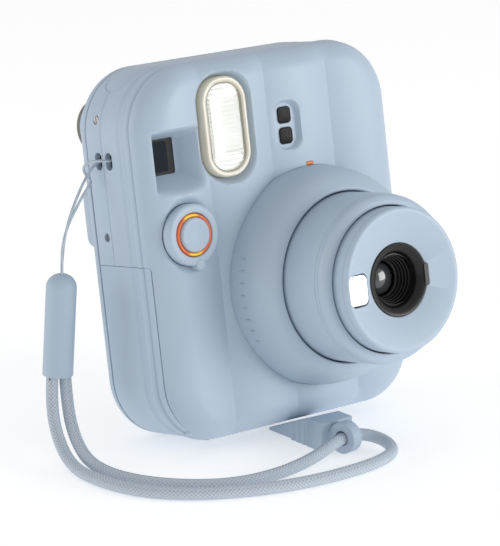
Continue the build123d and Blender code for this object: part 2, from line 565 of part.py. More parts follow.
def lens_ring():
    """Domed twist ring: a quarter ellipse from the base to the lip, hollow behind."""
    lip_r = RING_BORE_R + RING_LIP_W
    depth = RING_BASE_Y - RING_LIP_Y
    outer = EllipticalCenterArc((lip_r, RING_BASE_Y), RING_R - lip_r, depth, -90, arc_size=90)
    inner = EllipticalCenterArc((lip_r, RING_BASE_Y), RING_R - lip_r - RING_WALL,
                                depth - RING_WALL, -90, arc_size=90)
    profile = Curve() + [
        outer, Line(outer @ 1, inner @ 1), inner,
        Line(inner @ 0, (GUIDE_R_OUT + SKIN_GAP, RING_LIP_Y + RING_WALL)),
        Line((GUIDE_R_OUT + SKIN_GAP, RING_LIP_Y + RING_WALL),
             (RING_BORE_R, RING_LIP_Y + RING_WALL)),
        Line((RING_BORE_R, RING_LIP_Y + RING_WALL), (RING_BORE_R, RING_LIP_Y)),
        Line((RING_BORE_R, RING_LIP_Y), outer @ 0)]
    return lens_turned(profile)


def lens_guide():
    """Fixed tube with a flange behind the front cover; the outer barrel slides in it."""
    tube = lens_disc(GUIDE_R_OUT, GUIDE_BACK_Y, GUIDE_FRONT_Y)
    tube += lens_disc(GUIDE_FLANGE_R, FRONT_Y + 4.8, FRONT_Y + 3.3)
    return tube - lens_disc(GUIDE_R_IN, GUIDE_BACK_Y + 1, GUIDE_FRONT_Y - 1)


def outer_barrel():
    """Large barrel with a rounded nose and a lip that closes on the inner barrel."""
    tube = lens_disc(OUTER_R, OUTER_BACK_Y, OUTER_FRONT_Y)
    tube = fillet(tube.edges().sort_by(Axis.Y)[0], OUTER_EDGE_R)
    tube -= lens_disc(OUTER_R - BARREL_WALL, OUTER_BACK_Y + 1, OUTER_FRONT_Y + OUTER_EDGE_R)
    return tube - lens_disc(INNER_R + SKIN_GAP, OUTER_BACK_Y + 1, OUTER_FRONT_Y - 1)


def inner_barrel():
    """Small barrel whose front disc is a shallow cone round the lens."""
    tube = lens_disc(INNER_R, INNER_BACK_Y, INNER_FRONT_Y)
    tube = fillet(tube.edges().sort_by(Axis.Y)[0], 0.7)
    tube -= lens_disc(INNER_R - BARREL_WALL, INNER_BACK_Y + 1, INNER_FRONT_Y + DISC_DISH + 2)
    rim, hub = INNER_R - 1.0, BEZEL_R + 0.02
    dish = Polyline((0, INNER_FRONT_Y - 1), (rim, INNER_FRONT_Y - 1), (rim, INNER_FRONT_Y),
                    (hub, INNER_FRONT_Y + DISC_DISH), (0, INNER_FRONT_Y + DISC_DISH),
                    (0, INNER_FRONT_Y - 1))
    tube -= lens_turned(dish)
    tube -= slab(MIRROR_X, MIRROR_Z, MIRROR_W + 0.2, MIRROR_H + 0.2, MIRROR_R + 0.1,
                 INNER_FRONT_Y + 2.6, INNER_FRONT_Y - 1)
    return tube - lens_disc(hub, INNER_BACK_Y, INNER_FRONT_Y - 1)


def lens_bezel():
    """Black stepped well down to the front element."""
    front = INNER_FRONT_Y + DISC_DISH - 0.6
    well = lens_disc(BEZEL_R, front + BEZEL_DEPTH + 1.2, front)
    step = (BEZEL_R - 0.9 - GLASS_R) / BEZEL_STEPS
    for i in range(BEZEL_STEPS):
        y = front + i * BEZEL_DEPTH / BEZEL_STEPS
        well -= lens_disc(BEZEL_R - 0.9 - i * step, y + BEZEL_DEPTH / BEZEL_STEPS + 0.01, y - 0.01)
    return well - lens_disc(GLASS_R - 0.6, front + BEZEL_DEPTH + 2, front)


def front_element():
    y = INNER_FRONT_Y + DISC_DISH - 0.6 + BEZEL_DEPTH
    return lens_disc(GLASS_R, y - 0.05, y - 2.0)


def shutter_plate():
    """Plate behind the bezel with the aperture hole and two blade posts."""
    y = INNER_FRONT_Y + DISC_DISH + BEZEL_DEPTH + 0.62
    plate = lens_disc(INNER_R - BARREL_WALL - 0.02, y + 1.4, y) - lens_disc(3.2, y + 2, y - 1)
    post = disc(BLADE_X, BLADE_Z, 0.75, y + 3.4, y + 1.38)
    return plate + post


def shutter_blade():
    """Blade that swings across the aperture behind the plate."""
    y = INNER_FRONT_Y + DISC_DISH + BEZEL_DEPTH + 0.62 + 1.7
    px, pz = BLADE_X, BLADE_Z
    blade = disc(px, pz, 2.2, y + 0.6, y)
    aim = facing(px, pz, y + 0.6) * Rot(0, 0, 43)
    arm = extrude(aim * Pos(5.5, 0) * Rectangle(11, 2.6), amount=0.6)
    tip = extrude(aim * Pos(11.2, 0) * Circle(4.0), amount=0.6)
    return blade + arm + tip - disc(px, pz, 0.8, y + 2, y - 1)


def selfie_mirror():
    return slab(MIRROR_X, MIRROR_Z, MIRROR_W, MIRROR_H, MIRROR_R, INNER_FRONT_Y + 2.5,
                INNER_FRONT_Y + 1.3)


# ---- film path ------------------------------------------------------------------------------------------------

def exposure_frame():
    """Frame in front of the film pack that keeps stray light out."""
    frame = slab(LENS_X, LENS_Z, PACK_W + 2, FRAME_H, 3, FRAME_Y1, FRAME_Y0)
    mouth = facing(LENS_X, LENS_Z, FRAME_Y0 - 0.01) * Rectangle(57, 57)
    gate = facing(LENS_X, LENS_Z, FRAME_Y1 + 0.01) * Rectangle(48, 63)
    frame -= loft([gate, mouth])
    frame -= block(-60, CELL_X[1] + CELL_R + 1.8, -30, CELL_Y + CELL_R + 1.4, 0, 63)
    return frame & outline(WALL + 0.6, SEAM_Y + 5, FRONT_Y + 5)


def film_pack():
    """Film cartridge with its dark slide slot."""
    pack = slab(LENS_X, PACK_Z, PACK_W, PACK_H, 2, PACK_Y + PACK_T / 2, PACK_Y - PACK_T / 2)
    window = slab(LENS_X, LENS_Z, 46.0, 62.0, 1, PACK_Y - PACK_T / 2 + 1, PACK_Y - PACK_T)
    slot = block(LENS_X - 27.5, LENS_X + 27.5, PACK_Y - 2.4, PACK_Y - 1.2, PACK_Z, BODY_H)
    return (pack - window - slot) & outline(WALL + 0.5, DOOR_Y, SEAM_Y)


def pack_springs():
    """Two leaf springs on the door that press the pack forward."""
    springs = Part()
    for z in (40.0, 78.0):
        springs += block(LENS_X + 16, LENS_X + 20, BACK_Y - WALL - 0.8, BACK_Y - WALL - 0.02,
                         z - 4, z + 4)
        springs += block(LENS_X + 17, LENS_X + 19, BACK_Y - WALL - 3.0, BACK_Y - WALL - 0.7,
                         z - 1.5, z + 1.5)
    return springs


def gear(teeth, x, y, z, turn_deg, bore=0.0):
    """Spur gear about X with straight-sided teeth and room for backlash."""
    pitch_r = GEAR_MODULE * teeth / 2
    root_r, tip_r = pitch_r - 1.25 * GEAR_MODULE, pitch_r + 0.8 * GEAR_MODULE
    plane = Plane(origin=(x, y, z), x_dir=(0, 1, 0), z_dir=(1, 0, 0))
    root_w, tip_w = 0.58 * pi * GEAR_MODULE, 0.20 * pi * GEAR_MODULE
    tooth = make_face(Polyline((root_r - 0.2, -root_w / 2), (tip_r, -tip_w / 2),
                               (tip_r, tip_w / 2), (root_r - 0.2, root_w / 2),
                               (root_r - 0.2, -root_w / 2)))
    sketch = Circle(root_r) + [Rot(0, 0, turn_deg + 360 * i / teeth) * tooth
                               for i in range(teeth)]
    if bore:
        sketch -= Circle(bore)
    return extrude(plane * sketch, amount=GEAR_W)


def roller(index):
    """One of the two rollers that squeeze the print, with its shaft and gear."""
    y = ROLLER_Y[index]
    x0 = LENS_X - ROLLER_L / 2
    body = along_x(ROLLER_R, x0, x0 + ROLLER_L, y, ROLLER_Z)
    body += along_x(ROLLER_SHAFT_R, x0 - 4, GEAR_X + 0.1, y, ROLLER_Z)
    turn = 0 if index == 0 else 180 / ROLLER_TEETH
    return body + gear(ROLLER_TEETH, GEAR_X, y, ROLLER_Z, turn)


def roller_bearings():
    """Two side plates that carry the rollers."""
    plates = Part()
    for x in (LENS_X - ROLLER_L / 2 - 2.4, LENS_X + ROLLER_L / 2 + 0.6):
        plate = block(x, x + 1.4, ROLLER_Y[0] - 3, ROLLER_Y[1] + 2.4, ROLLER_Z - 4, ROLLER_Z + 4)
        for y in ROLLER_Y:
            plate -= along_x(ROLLER_SHAFT_R + 0.06, x - 1, x + 3, y, ROLLER_Z)
        plates += plate
    return plates


def idler_place():
    """Idler gear in front of and below the drive roller's gear."""
    reach = GEAR_MODULE * (ROLLER_TEETH + IDLER_TEETH) / 2
    return ROLLER_Y[0] - reach * cos(radians(45)), ROLLER_Z - reach * sin(radians(45))


def idler_gear():
    y, z = idler_place()
    return gear(IDLER_TEETH, GEAR_X, y, z, 45, 0.86)


def pinion_place():
    y, z = idler_place()
    return y, z - GEAR_MODULE * (IDLER_TEETH + PINION_TEETH) / 2


def motor_pinion():
    y, z = pinion_place()
    shaft = along_x(0.7, GEAR_X - 3, GEAR_X + 0.1, y, z)
    return gear(PINION_TEETH, GEAR_X, y, z, 90 + 180 / PINION_TEETH) + shaft


def motor():
    y, z = pinion_place()
    can = along_x(4.2, GEAR_X - 14.5, GEAR_X - 0.8, y, z)
    return can - along_x(0.76, GEAR_X - 4, GEAR_X, y, z)


def gear_bracket():
    """Plate beside the gears with the idler's stud."""
    y, z = idler_place()
    plate = block(GEAR_X - 2.0, GEAR_X - 0.8, y - 2.4, y + 2.4, z - 2.4, z + 2.4)
    return plate + along_x(0.8, GEAR_X - 0.81, GEAR_X + GEAR_W, y, z)


def flap_rod(r, overhang):
    return along_x(r, FLAP_X0 - overhang, FLAP_HINGE_X1 + overhang, FLAP_PIN_Y, FLAP_PIN_Z)


def top_trim():
    """Inlay along the top with the slot that prints leave by."""
    inlay = top_trim_zone(0) & outline(0, DOOR_Y, FRONT_Y)
    return inlay - flap_slot() - flap_rod(FLAP_PIN_R + 0.01, FLAP_PIN_GRIP)


def exit_flap():
    """Sprung lid over the print slot, with its hinge barrel along the front edge."""
    lid = block(FLAP_X0, FLAP_HINGE_X1, FLAP_PIN_Y, FLAP_Y1, TRIM_Z, BODY_H)
    lid += flap_tail(FLAP_TAIL_Y0, FLAP_TAIL_Y1, 0)
    lid &= outline(0, DOOR_Y, FRONT_Y) - outline(FLAP_T, DOOR_Y + 1, FRONT_Y - 1)
    return lid + flap_rod(FLAP_BARREL_R, 0) - flap_rod(FLAP_PIN_R + 0.05, 1)


def flap_pin():
    return flap_rod(FLAP_PIN_R, FLAP_PIN_GRIP)


def main_board():
    board = slab(16, 90, 50, 26, 1, -10.8, -12.2)
    return board - slab(SENSOR_X, SENSOR_Z, SENSOR_SIZE, 3, 1, -10, -13)


# ---- strap ---------------------------------------------------------------------------------------------------

def strap_cap():
    """Round-topped sleeve that joins the thin cord to the braided one."""
    top, bottom = Vector(*CAP_TOP), Vector(*CAP_BOTTOM)
    axis = (top - bottom).normalized()
    length = (top - bottom).length
    plane = Plane(origin=CAP_BOTTOM, x_dir=(0, 1, 0), z_dir=tuple(axis))
    sleeve = extrude(plane * Circle(CAP_R), amount=length)
    sleeve = fillet(sleeve.edges().sort_by(Axis.Z)[-1], CAP_R - 0.4)
    return sleeve


def corner_radii(points):
    """Radius of each tangent arc: 0.45 of the shorter run over the tangent of half the turn."""
    radii = []
    for a, b, c in zip(points, points[1:], points[2:]):
        run_in, run_out = Vector(*b) - Vector(*a), Vector(*c) - Vector(*b)
        half_turn = radians(run_in.get_angle(run_out)) / 2
        radii.append(0.45 * min(run_in.length, run_out.length) / tan(half_turn))
    return radii


def cord_tube(name, points, r):
    """Round tube along straight runs joined by tangent arcs."""
    radii = corner_radii(points)
    path = FilletPolyline(*points, radius=radii)
    start = Plane(origin=path @ 0, z_dir=path % 0)
    tube = sweep(start * Circle(r), path=path)
    share = tube.volume / (pi * r * r * path.length)
    print(name, "length", round(path.length, 1), "volume share", round(share, 4),
          "radii", [round(x, 1) for x in radii])
    return tube


def angle_wedge():
    """Wedge under the body's front edge, with the eyelet that the strap runs through."""
    x_mid, width = (WEDGE_X0 + WEDGE_X1) / 2, WEDGE_X1 - WEDGE_X0
    plane = Plane(origin=(x_mid, 0, 0), x_dir=(0, 1, 0), z_dir=(1, 0, 0))
    rise = (WEDGE_CREST_H - WEDGE_TIP_H) / (WEDGE_TIP_Y - WEDGE_CREST_Y)
    step_h = WEDGE_TIP_H + rise * (WEDGE_TIP_Y - WEDGE_STEP_Y)
    head = Polyline((WEDGE_STEP_Y, 0), (WEDGE_STEP_Y, step_h), (WEDGE_CREST_Y, WEDGE_CREST_H),
                    (WEDGE_END_Y, WEDGE_CREST_H), (WEDGE_END_Y, 0), (WEDGE_STEP_Y, 0))
    tongue = Polyline((WEDGE_TIP_Y, 0), (WEDGE_TIP_Y, WEDGE_TIP_H), (WEDGE_STEP_Y, step_h),
                      (WEDGE_STEP_Y, 0), (WEDGE_TIP_Y, 0))
    wedge = extrude(plane * make_face(head), amount=width / 2, both=True)
    wedge += extrude(plane * make_face(tongue), amount=width / 2 - WEDGE_INSET, both=True)
    eye = Plane(origin=EYELET_AT, z_dir=EYELET_DIR)
    wedge += extrude(eye * Circle(EYELET_R), amount=EYELET_L / 2, both=True)
    return wedge - extrude(eye * Circle(EYELET_HOLE_R), amount=EYELET_L * 2, both=True)


# ---- assembly --------------------------------------------------------------------------------------------------

CAMERA_PIECES = {
    "front_cover": front_cover,
    "rear_housing": rear_housing,
    "rear_top_cover": rear_top_cover,
    "back_door": back_door,
    "back_door_hinge_ears": hinge_ears,
    "back_door_hinge_pin": hinge_pin,
    "back_door_latch": door_latch,
    "film_pack_window": pack_window,
    "counter_dial": counter_dial,
    "counter_bridge": counter_post,
    "battery_door": battery_door,
    "battery_tray": battery_tray,
    "battery_outer": lambda: battery(CELL_X[0]),
    "battery_inner": lambda: battery(CELL_X[1]),
    "battery_contacts": battery_contacts,
    "side_screws": side_screws,
    "bottom_feet": feet,
    "eyepiece_ring": eyepiece_ring,
    "eyepiece_lens": eyepiece_lens,
    "viewfinder_tube": finder_tube,
    "viewfinder_window": finder_window,
    "flash_bezel": flash_bezel,
    "flash_window": flash_glass,
    "flash_reflector": flash_reflector,
    "flash_tube": flash_tube,
    "flash_capacitor": flash_capacitor,
    "sensor_window_upper": lambda: sensor_window(1),
    "sensor_window_lower": lambda: sensor_window(-1),
    "index_mark": index_mark,
    "timer_lever": timer_lever,
    "glow_ring": glow_ring,
    "shutter_button": shutter_button,
    "lens_ring": lens_ring,
    "lens_guide_tube": lens_guide,
    "outer_barrel": outer_barrel,
    "inner_barrel": inner_barrel,
    "lens_bezel": lens_bezel,
    "front_lens_element": front_element,
    "shutter_plate": shutter_plate,
    "shutter_blade": shutter_blade,
    "selfie_mirror": selfie_mirror,
    "exposure_frame": exposure_frame,
    "film_pack": film_pack,
    "pack_springs": pack_springs,
    "drive_roller": lambda: roller(0),
    "pinch_roller": lambda: roller(1),
    "roller_bearings": roller_bearings,
    "idler_gear": idler_gear,
    "motor_pinion": motor_pinion,
    "motor": motor,
    "gear_bracket": gear_bracket,
    "top_trim": top_trim,
    "film_exit_flap": exit_flap,
    "flap_pin": flap_pin,
    "main_board": main_board,
}

STRAP_PIECES = {
    "strap_cap": strap_cap,
    "strap_thread": lambda: cord_tube("strap_thread", THREAD_ROUTE, THREAD_R),
    "strap_braid": lambda: cord_tube("strap_braid", STRAP_ROUTE, STRAP_R),
    "angle_wedge": angle_wedge,
}


def export_all():
    os.makedirs("parts", exist_ok=True)
    for name, make in CAMERA_PIECES.items():
        export_step(stand(make()), f"parts/{name}.step")
    for name, make in STRAP_PIECES.items():
        export_step(lay(make()), f"parts/{name}.step")


export_all()
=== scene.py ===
"""Looks of an instant camera: its moulded casing, twist lens, flash, finder and wrist strap.

Pieces of the body are shaped upright in millimetres, X right, Y back along the lens and Z up,
and then leaned back onto the strap's wedge. Strap pieces are shaped where they lie.
"""

import json
import logging
import math
from contextlib import contextmanager
from dataclasses import dataclass
from enum import Enum
from typing import Callable, Iterator, Sequence

import bmesh
import bpy
from mathutils import Matrix, Vector


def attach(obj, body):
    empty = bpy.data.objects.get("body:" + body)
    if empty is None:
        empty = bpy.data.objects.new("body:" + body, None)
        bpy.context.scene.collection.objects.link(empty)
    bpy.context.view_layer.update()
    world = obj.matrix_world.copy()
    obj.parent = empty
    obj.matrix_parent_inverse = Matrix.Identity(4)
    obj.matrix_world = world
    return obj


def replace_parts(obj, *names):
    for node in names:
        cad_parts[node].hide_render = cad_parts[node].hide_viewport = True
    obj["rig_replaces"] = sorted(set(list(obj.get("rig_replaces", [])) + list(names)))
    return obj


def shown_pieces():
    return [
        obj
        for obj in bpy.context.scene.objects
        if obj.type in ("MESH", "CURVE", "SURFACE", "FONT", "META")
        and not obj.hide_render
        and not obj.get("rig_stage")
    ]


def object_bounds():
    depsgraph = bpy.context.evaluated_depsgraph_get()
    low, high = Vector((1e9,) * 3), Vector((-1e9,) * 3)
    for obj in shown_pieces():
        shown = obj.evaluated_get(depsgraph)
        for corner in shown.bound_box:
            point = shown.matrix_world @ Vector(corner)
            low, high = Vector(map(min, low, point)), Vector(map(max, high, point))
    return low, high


LOG = logging.getLogger("instant_camera")
MM = 0.001
Point = tuple[float, float, float]
Pair = tuple[float, float]
Tree = bpy.types.NodeTree
Node = bpy.types.Node
Socket = bpy.types.NodeSocket
DUST_COLOR = (0.75, 0.75, 0.73, 1)
SCATTER = (0.004, 0.004, 0.004)       # how far light runs under a milky surface, in metres

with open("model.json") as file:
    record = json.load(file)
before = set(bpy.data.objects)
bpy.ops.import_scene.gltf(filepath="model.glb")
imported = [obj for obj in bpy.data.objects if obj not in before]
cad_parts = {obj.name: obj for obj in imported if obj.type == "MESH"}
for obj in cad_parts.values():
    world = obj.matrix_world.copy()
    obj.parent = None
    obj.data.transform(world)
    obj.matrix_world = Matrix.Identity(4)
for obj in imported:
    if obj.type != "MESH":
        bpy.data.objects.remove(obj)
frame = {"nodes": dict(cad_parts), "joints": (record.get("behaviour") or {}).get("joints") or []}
CAD_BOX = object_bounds()


# ---- where the body stands ---------------------------------------------------------------------

LENS_PIVOT = (13.1, -30.0, 46.8)      # where the lens ring's joint sits in the upright body


def upright_matrix() -> Matrix:
    """Place of the upright body, in millimetres, in the row frame.

    Returns:
        The matrix that scales, leans and moves upright points.
    """
    joint = next(j for j in frame["joints"] if j["name"] == "lens_ring_turn")
    right, back = Vector((1, 0, 0)), -Vector(joint["axis"]).normalized()
    up = right.cross(back)
    turn = Matrix((right, back, up)).transposed()
    origin = Vector(joint["pos_m"]) - turn @ (Vector(LENS_PIVOT) * MM)
    return Matrix.Translation(origin) @ turn.to_4x4() @ Matrix.Scale(MM, 4)


BODY = upright_matrix()
FLOOR_SHIFT = 19.834                  # from the rear contact line to the row frame's origin
STRAP = Matrix.Translation((0, FLOOR_SHIFT * MM, 0)) @ Matrix.Scale(MM, 4)


# ---- finishes ------------------------------------------------------------------------------------

def socket_group(name: str, inputs: dict[str, float], outputs: dict[str, str]
                 ) -> tuple[Tree, Node, Node]:
    """Start a shader group.

    Args:
        name: Name of the group.
        inputs: Float inputs and their defaults.
        outputs: Output names and socket types.

    Returns:
        The tree, its input node and its output node.
    """
    tree = bpy.data.node_groups.new(name, "ShaderNodeTree")
    for key, value in inputs.items():
        made = tree.interface.new_socket(key, in_out="INPUT", socket_type="NodeSocketFloat")
        made.default_value = value
    for key, kind in outputs.items():
        tree.interface.new_socket(key, in_out="OUTPUT", socket_type=kind)
    return tree, tree.nodes.new("NodeGroupInput"), tree.nodes.new("NodeGroupOutput")


def math_node(tree: Tree, operation: str, first: Socket | float, second: Socket | float
              ) -> Socket:
    """Add a maths node.

    Args:
        tree: Node tree to add to.
        operation: Blender's name of the operation.
        first: Socket or number.
        second: Socket or number.

    Returns:
        The node's output socket.
    """
    node = tree.nodes.new("ShaderNodeMath")
    node.operation = operation
    for slot, value in zip(node.inputs, (first, second)):
        if isinstance(value, (int, float)):
            slot.default_value = value
        else:
            tree.links.new(value, slot)
    return node.outputs[0]


def noise_node(tree: Tree, vector: Socket, scale: float, detail: float = 3.0) -> Socket:
    """Add a noise texture on a vector.

    Args:
        tree: Node tree to add to.
        vector: Socket with the coordinates.
        scale: Cells per metre.
        detail: Octaves.

    Returns:
        The noise's value socket.
    """
    node = tree.nodes.new("ShaderNodeTexNoise")
    node.inputs["Scale"].default_value = scale
    node.inputs["Detail"].default_value = detail
    tree.links.new(vector, node.inputs["Vector"])
    return node.outputs["Fac"]


def grain_group() -> Tree:
    """Moulded grain: a fine spark-eroded height, a broad tone and a roughness.

    Returns:
        The node group.
    """
    tree, gin, gout = socket_group(
        "moulded_grain",
        {"Cells": 4200.0, "Tone": 0.03, "Roughness": 0.45, "Spread": 0.06},
        {"Height": "NodeSocketFloat", "Tone": "NodeSocketFloat", "Roughness": "NodeSocketFloat"})
    place = tree.nodes.new("ShaderNodeTexCoord").outputs["Object"]
    fine = tree.nodes.new("ShaderNodeTexNoise")
    fine.inputs["Detail"].default_value = 2.0
    tree.links.new(place, fine.inputs["Vector"])
    tree.links.new(gin.outputs["Cells"], fine.inputs["Scale"])
    broad = noise_node(tree, place, 38.0)
    cloud = noise_node(tree, place, 260.0)
    tone = math_node(tree, "MULTIPLY", math_node(tree, "SUBTRACT", broad, 0.5), gin.outputs["Tone"])
    rough = math_node(tree, "MULTIPLY", math_node(tree, "SUBTRACT", cloud, 0.5),
                      gin.outputs["Spread"])
    tree.links.new(fine.outputs["Fac"], gout.inputs["Height"])
    tree.links.new(math_node(tree, "ADD", tone, 1.0), gout.inputs["Tone"])
    tree.links.new(math_node(tree, "ADD", rough, gin.outputs["Roughness"]),
                   gout.inputs["Roughness"])
    return tree


def dust_group() -> Tree:
    """Faint dust and handling marks, as a mask from 0 to 1.

    Returns:
        The node group.
    """
    tree, gin, gout = socket_group("fine_dust", {"Amount": 0.1}, {"Mask": "NodeSocketFloat"})
    place = tree.nodes.new("ShaderNodeTexCoord").outputs["Object"]
    specks = noise_node(tree, place, 900.0, 5.0)
    patches = noise_node(tree, place, 55.0, 2.0)
    mask = math_node(tree, "MULTIPLY", math_node(tree, "SUBTRACT", specks, 0.56), patches)
    mask = math_node(tree, "MULTIPLY", math_node(tree, "MAXIMUM", mask, 0.0), 6.0)
    tree.links.new(math_node(tree, "MULTIPLY", mask, gin.outputs["Amount"]), gout.inputs["Mask"])
    return tree


def weave_group() -> Tree:
    """Braided sheath on a cord's own map: U runs in turns along it and V once round it.

    Returns:
        The node group.
    """
    tree, gin, gout = socket_group(
        "braid_weave", {"Turns": 1.0, "Plaits": 12.0},
        {"Height": "NodeSocketFloat", "Shade": "NodeSocketFloat"})
    split = tree.nodes.new("ShaderNodeSeparateXYZ")
    tree.links.new(tree.nodes.new("ShaderNodeTexCoord").outputs["UV"], split.inputs[0])
    along = math_node(tree, "MULTIPLY", split.outputs["X"], gin.outputs["Turns"])
    round_ = math_node(tree, "MULTIPLY", split.outputs["Y"], gin.outputs["Plaits"])
    ridges = []
    for operation in ("ADD", "SUBTRACT"):
        lean = math_node(tree, "MULTIPLY", math_node(tree, operation, along, round_), 2 * math.pi)
        ridges.append(math_node(tree, "SINE", lean, 0.0))
    height = math_node(tree, "MAXIMUM", ridges[0], ridges[1])
    tree.links.new(height, gout.inputs["Height"])
    # Shade is a painted-shade mask, lowest between the plaits.
    half = math_node(tree, "MULTIPLY", height, 0.5)
    tree.links.new(math_node(tree, "ADD", half, 0.5), gout.inputs["Shade"])
    return tree


class Groups:
    """The shared shader groups, each built once."""

    made: dict[str, bpy.types.NodeTree] = {}

    @classmethod
    def use(cls, tree: Tree, build: Callable[[], Tree], **values: float) -> Node:
        """Place a shared group in a material.

        Args:
            tree: The material's node tree.
            build: Function that builds the group.
            **values: Values for the group's inputs.

        Returns:
            The group node.
        """
        key = build.__name__
        if key not in cls.made:
            cls.made[key] = build()
        node = tree.nodes.new("ShaderNodeGroup")
        node.node_tree = cls.made[key]
        for name, value in values.items():
            node.inputs[name].default_value = value
        return node


@dataclass(frozen=True)
class Finish:
    """A moulded, cast or plated surface.

    Attributes:
        name: Name of the material.
        color: Linear base colour.
        roughness: Mean roughness.
        metallic: 0 or 1.
        grain: Height of the fine grain, in metres.
        cells: Grain cells per metre.
        tone: Share by which the colour drifts.
        dust: Amount of dust.
        coat: Weight of a clear coat.
        glow: Strength with which it lights up in its own colour.
        clear: Transmission weight.
        soft: Subsurface weight.
        specular: Level of the specular reflection.
    """

    name: str
    color: Point
    roughness: float = 0.5
    metallic: float = 0.0
    grain: float = 6e-6
    cells: float = 4200.0
    tone: float = 0.03
    dust: float = 0.02
    coat: float = 0.0
    glow: float = 0.0
    clear: float = 0.0
    soft: float = 0.0
    specular: float = 0.5

    def base(self, tree: Tree, grain: Node) -> Socket:
        """Return the socket of the base colour.

        Args:
            tree: The material's node tree.
            grain: The grain group's node.

        Returns:
            A colour socket.
        """
        mix = tree.nodes.new("ShaderNodeMix")
        mix.data_type, mix.blend_type = "RGBA", "MULTIPLY"
        mix.inputs["Factor"].default_value = 1.0
        mix.inputs["A"].default_value = (*self.color, 1)
        gray = tree.nodes.new("ShaderNodeCombineColor")
        for slot in gray.inputs:
            tree.links.new(grain.outputs["Tone"], slot)
        tree.links.new(gray.outputs[0], mix.inputs["B"])
        return mix.outputs["Result"]

    def dusted(self, tree: Tree, color: Socket) -> Socket:
        """Lay dust over a colour.

        Args:
            tree: The material's node tree.
            color: Socket of the colour below.

        Returns:
            A colour socket.
        """
        if not self.dust:
            return color
        dust = Groups.use(tree, dust_group, Amount=self.dust)
        mix = tree.nodes.new("ShaderNodeMix")
        mix.data_type = "RGBA"
        tree.links.new(dust.outputs["Mask"], mix.inputs["Factor"])
        tree.links.new(color, mix.inputs["A"])
        mix.inputs["B"].default_value = DUST_COLOR
        return mix.outputs["Result"]

    def height(self, tree: Tree, grain: Node) -> Socket:
        """Return the socket of the surface height, from 0 to 1."""
        return grain.outputs["Height"]

    def material(self) -> bpy.types.Material:
        """Build the material, or return it if it has been built.

        Returns:
            The material.
        """
        if self.name in bpy.data.materials:
            return bpy.data.materials[self.name]
        made = bpy.data.materials.new(self.name)
        made.use_nodes = True
        tree = made.node_tree
        shader = tree.nodes["Principled BSDF"]
        grain = Groups.use(tree, grain_group, Cells=self.cells, Tone=self.tone,
                           Roughness=self.roughness, Spread=self.roughness * 0.15)
        if self.tone or self.dust:
            tree.links.new(self.dusted(tree, self.base(tree, grain)),
                           shader.inputs["Base Color"])
        tree.links.new(grain.outputs["Roughness"], shader.inputs["Roughness"])
        bump = tree.nodes.new("ShaderNodeBump")
        bump.inputs["Strength"].default_value = 1.0
        bump.inputs["Distance"].default_value = self.grain
        tree.links.new(self.height(tree, grain), bump.inputs["Height"])
        tree.links.new(bump.outputs["Normal"], shader.inputs["Normal"])
        color = (*self.color, 1)
        for slot, value in (("Base Color", color), ("Metallic", self.metallic),
                            ("Specular IOR Level", self.specular), ("Coat Weight", self.coat),
                            ("Coat Roughness", 0.08), ("Transmission Weight", self.clear),
                            ("Subsurface Weight", self.soft), ("Subsurface Radius", SCATTER),
                            ("Subsurface Scale", 1.0), ("Emission Color", color),
                            ("Emission Strength", self.glow)):
            shader.inputs[slot].default_value = value
        return made


@dataclass(frozen=True)
class BraidFinish(Finish):
    """A braided sheath, with its plaits on the cord's own map.

    Attributes:
        turns: Turns of the plaits in one unit of the map.
        plaits: Plaits round the cord.
    """

    turns: float = 1.0
    plaits: float = 12.0

    def weave(self, tree: Tree) -> Node:
        """Place the weave group with this cord's count of plaits."""
        return Groups.use(tree, weave_group, Turns=self.turns, Plaits=self.plaits)

    def base(self, tree: Tree, grain: Node) -> Socket:
        """Return the base colour, with painted shade between the plaits."""
        shade = tree.nodes.new("ShaderNodeMix")
        shade.data_type = "RGBA"
        tree.links.new(self.weave(tree).outputs["Shade"], shade.inputs["Factor"])
        # Painted shade: between the plaits the colour is darkened to 0.72 of itself.
        shade.inputs["A"].default_value = (*(c * 0.72 for c in self.color), 1)
        shade.inputs["B"].default_value = (*self.color, 1)
        return shade.outputs["Result"]

    def height(self, tree: Tree, grain: Node) -> Socket:
        """Return the height of the plaits."""
        return self.weave(tree).outputs["Height"]


@dataclass(frozen=True)
class RibbedFinish(Finish):
    """A clear plate with fine ribs across it.

    Attributes:
        pitch: Distance between the ribs, in metres.
    """

    pitch: float = 0.0014

    def height(self, tree: Tree, grain: Node) -> Socket:
        """Return the height of the ribs, which lie across the body's upright line."""
        split = tree.nodes.new("ShaderNodeSeparateXYZ")
        place = tree.nodes.new("ShaderNodeTexCoord").outputs["Object"]
        tree.links.new(place, split.inputs[0])
        waves = math_node(tree, "MULTIPLY", split.outputs["Z"], 2 * math.pi / self.pitch)
        return math_node(tree, "SINE", waves, 0.0)


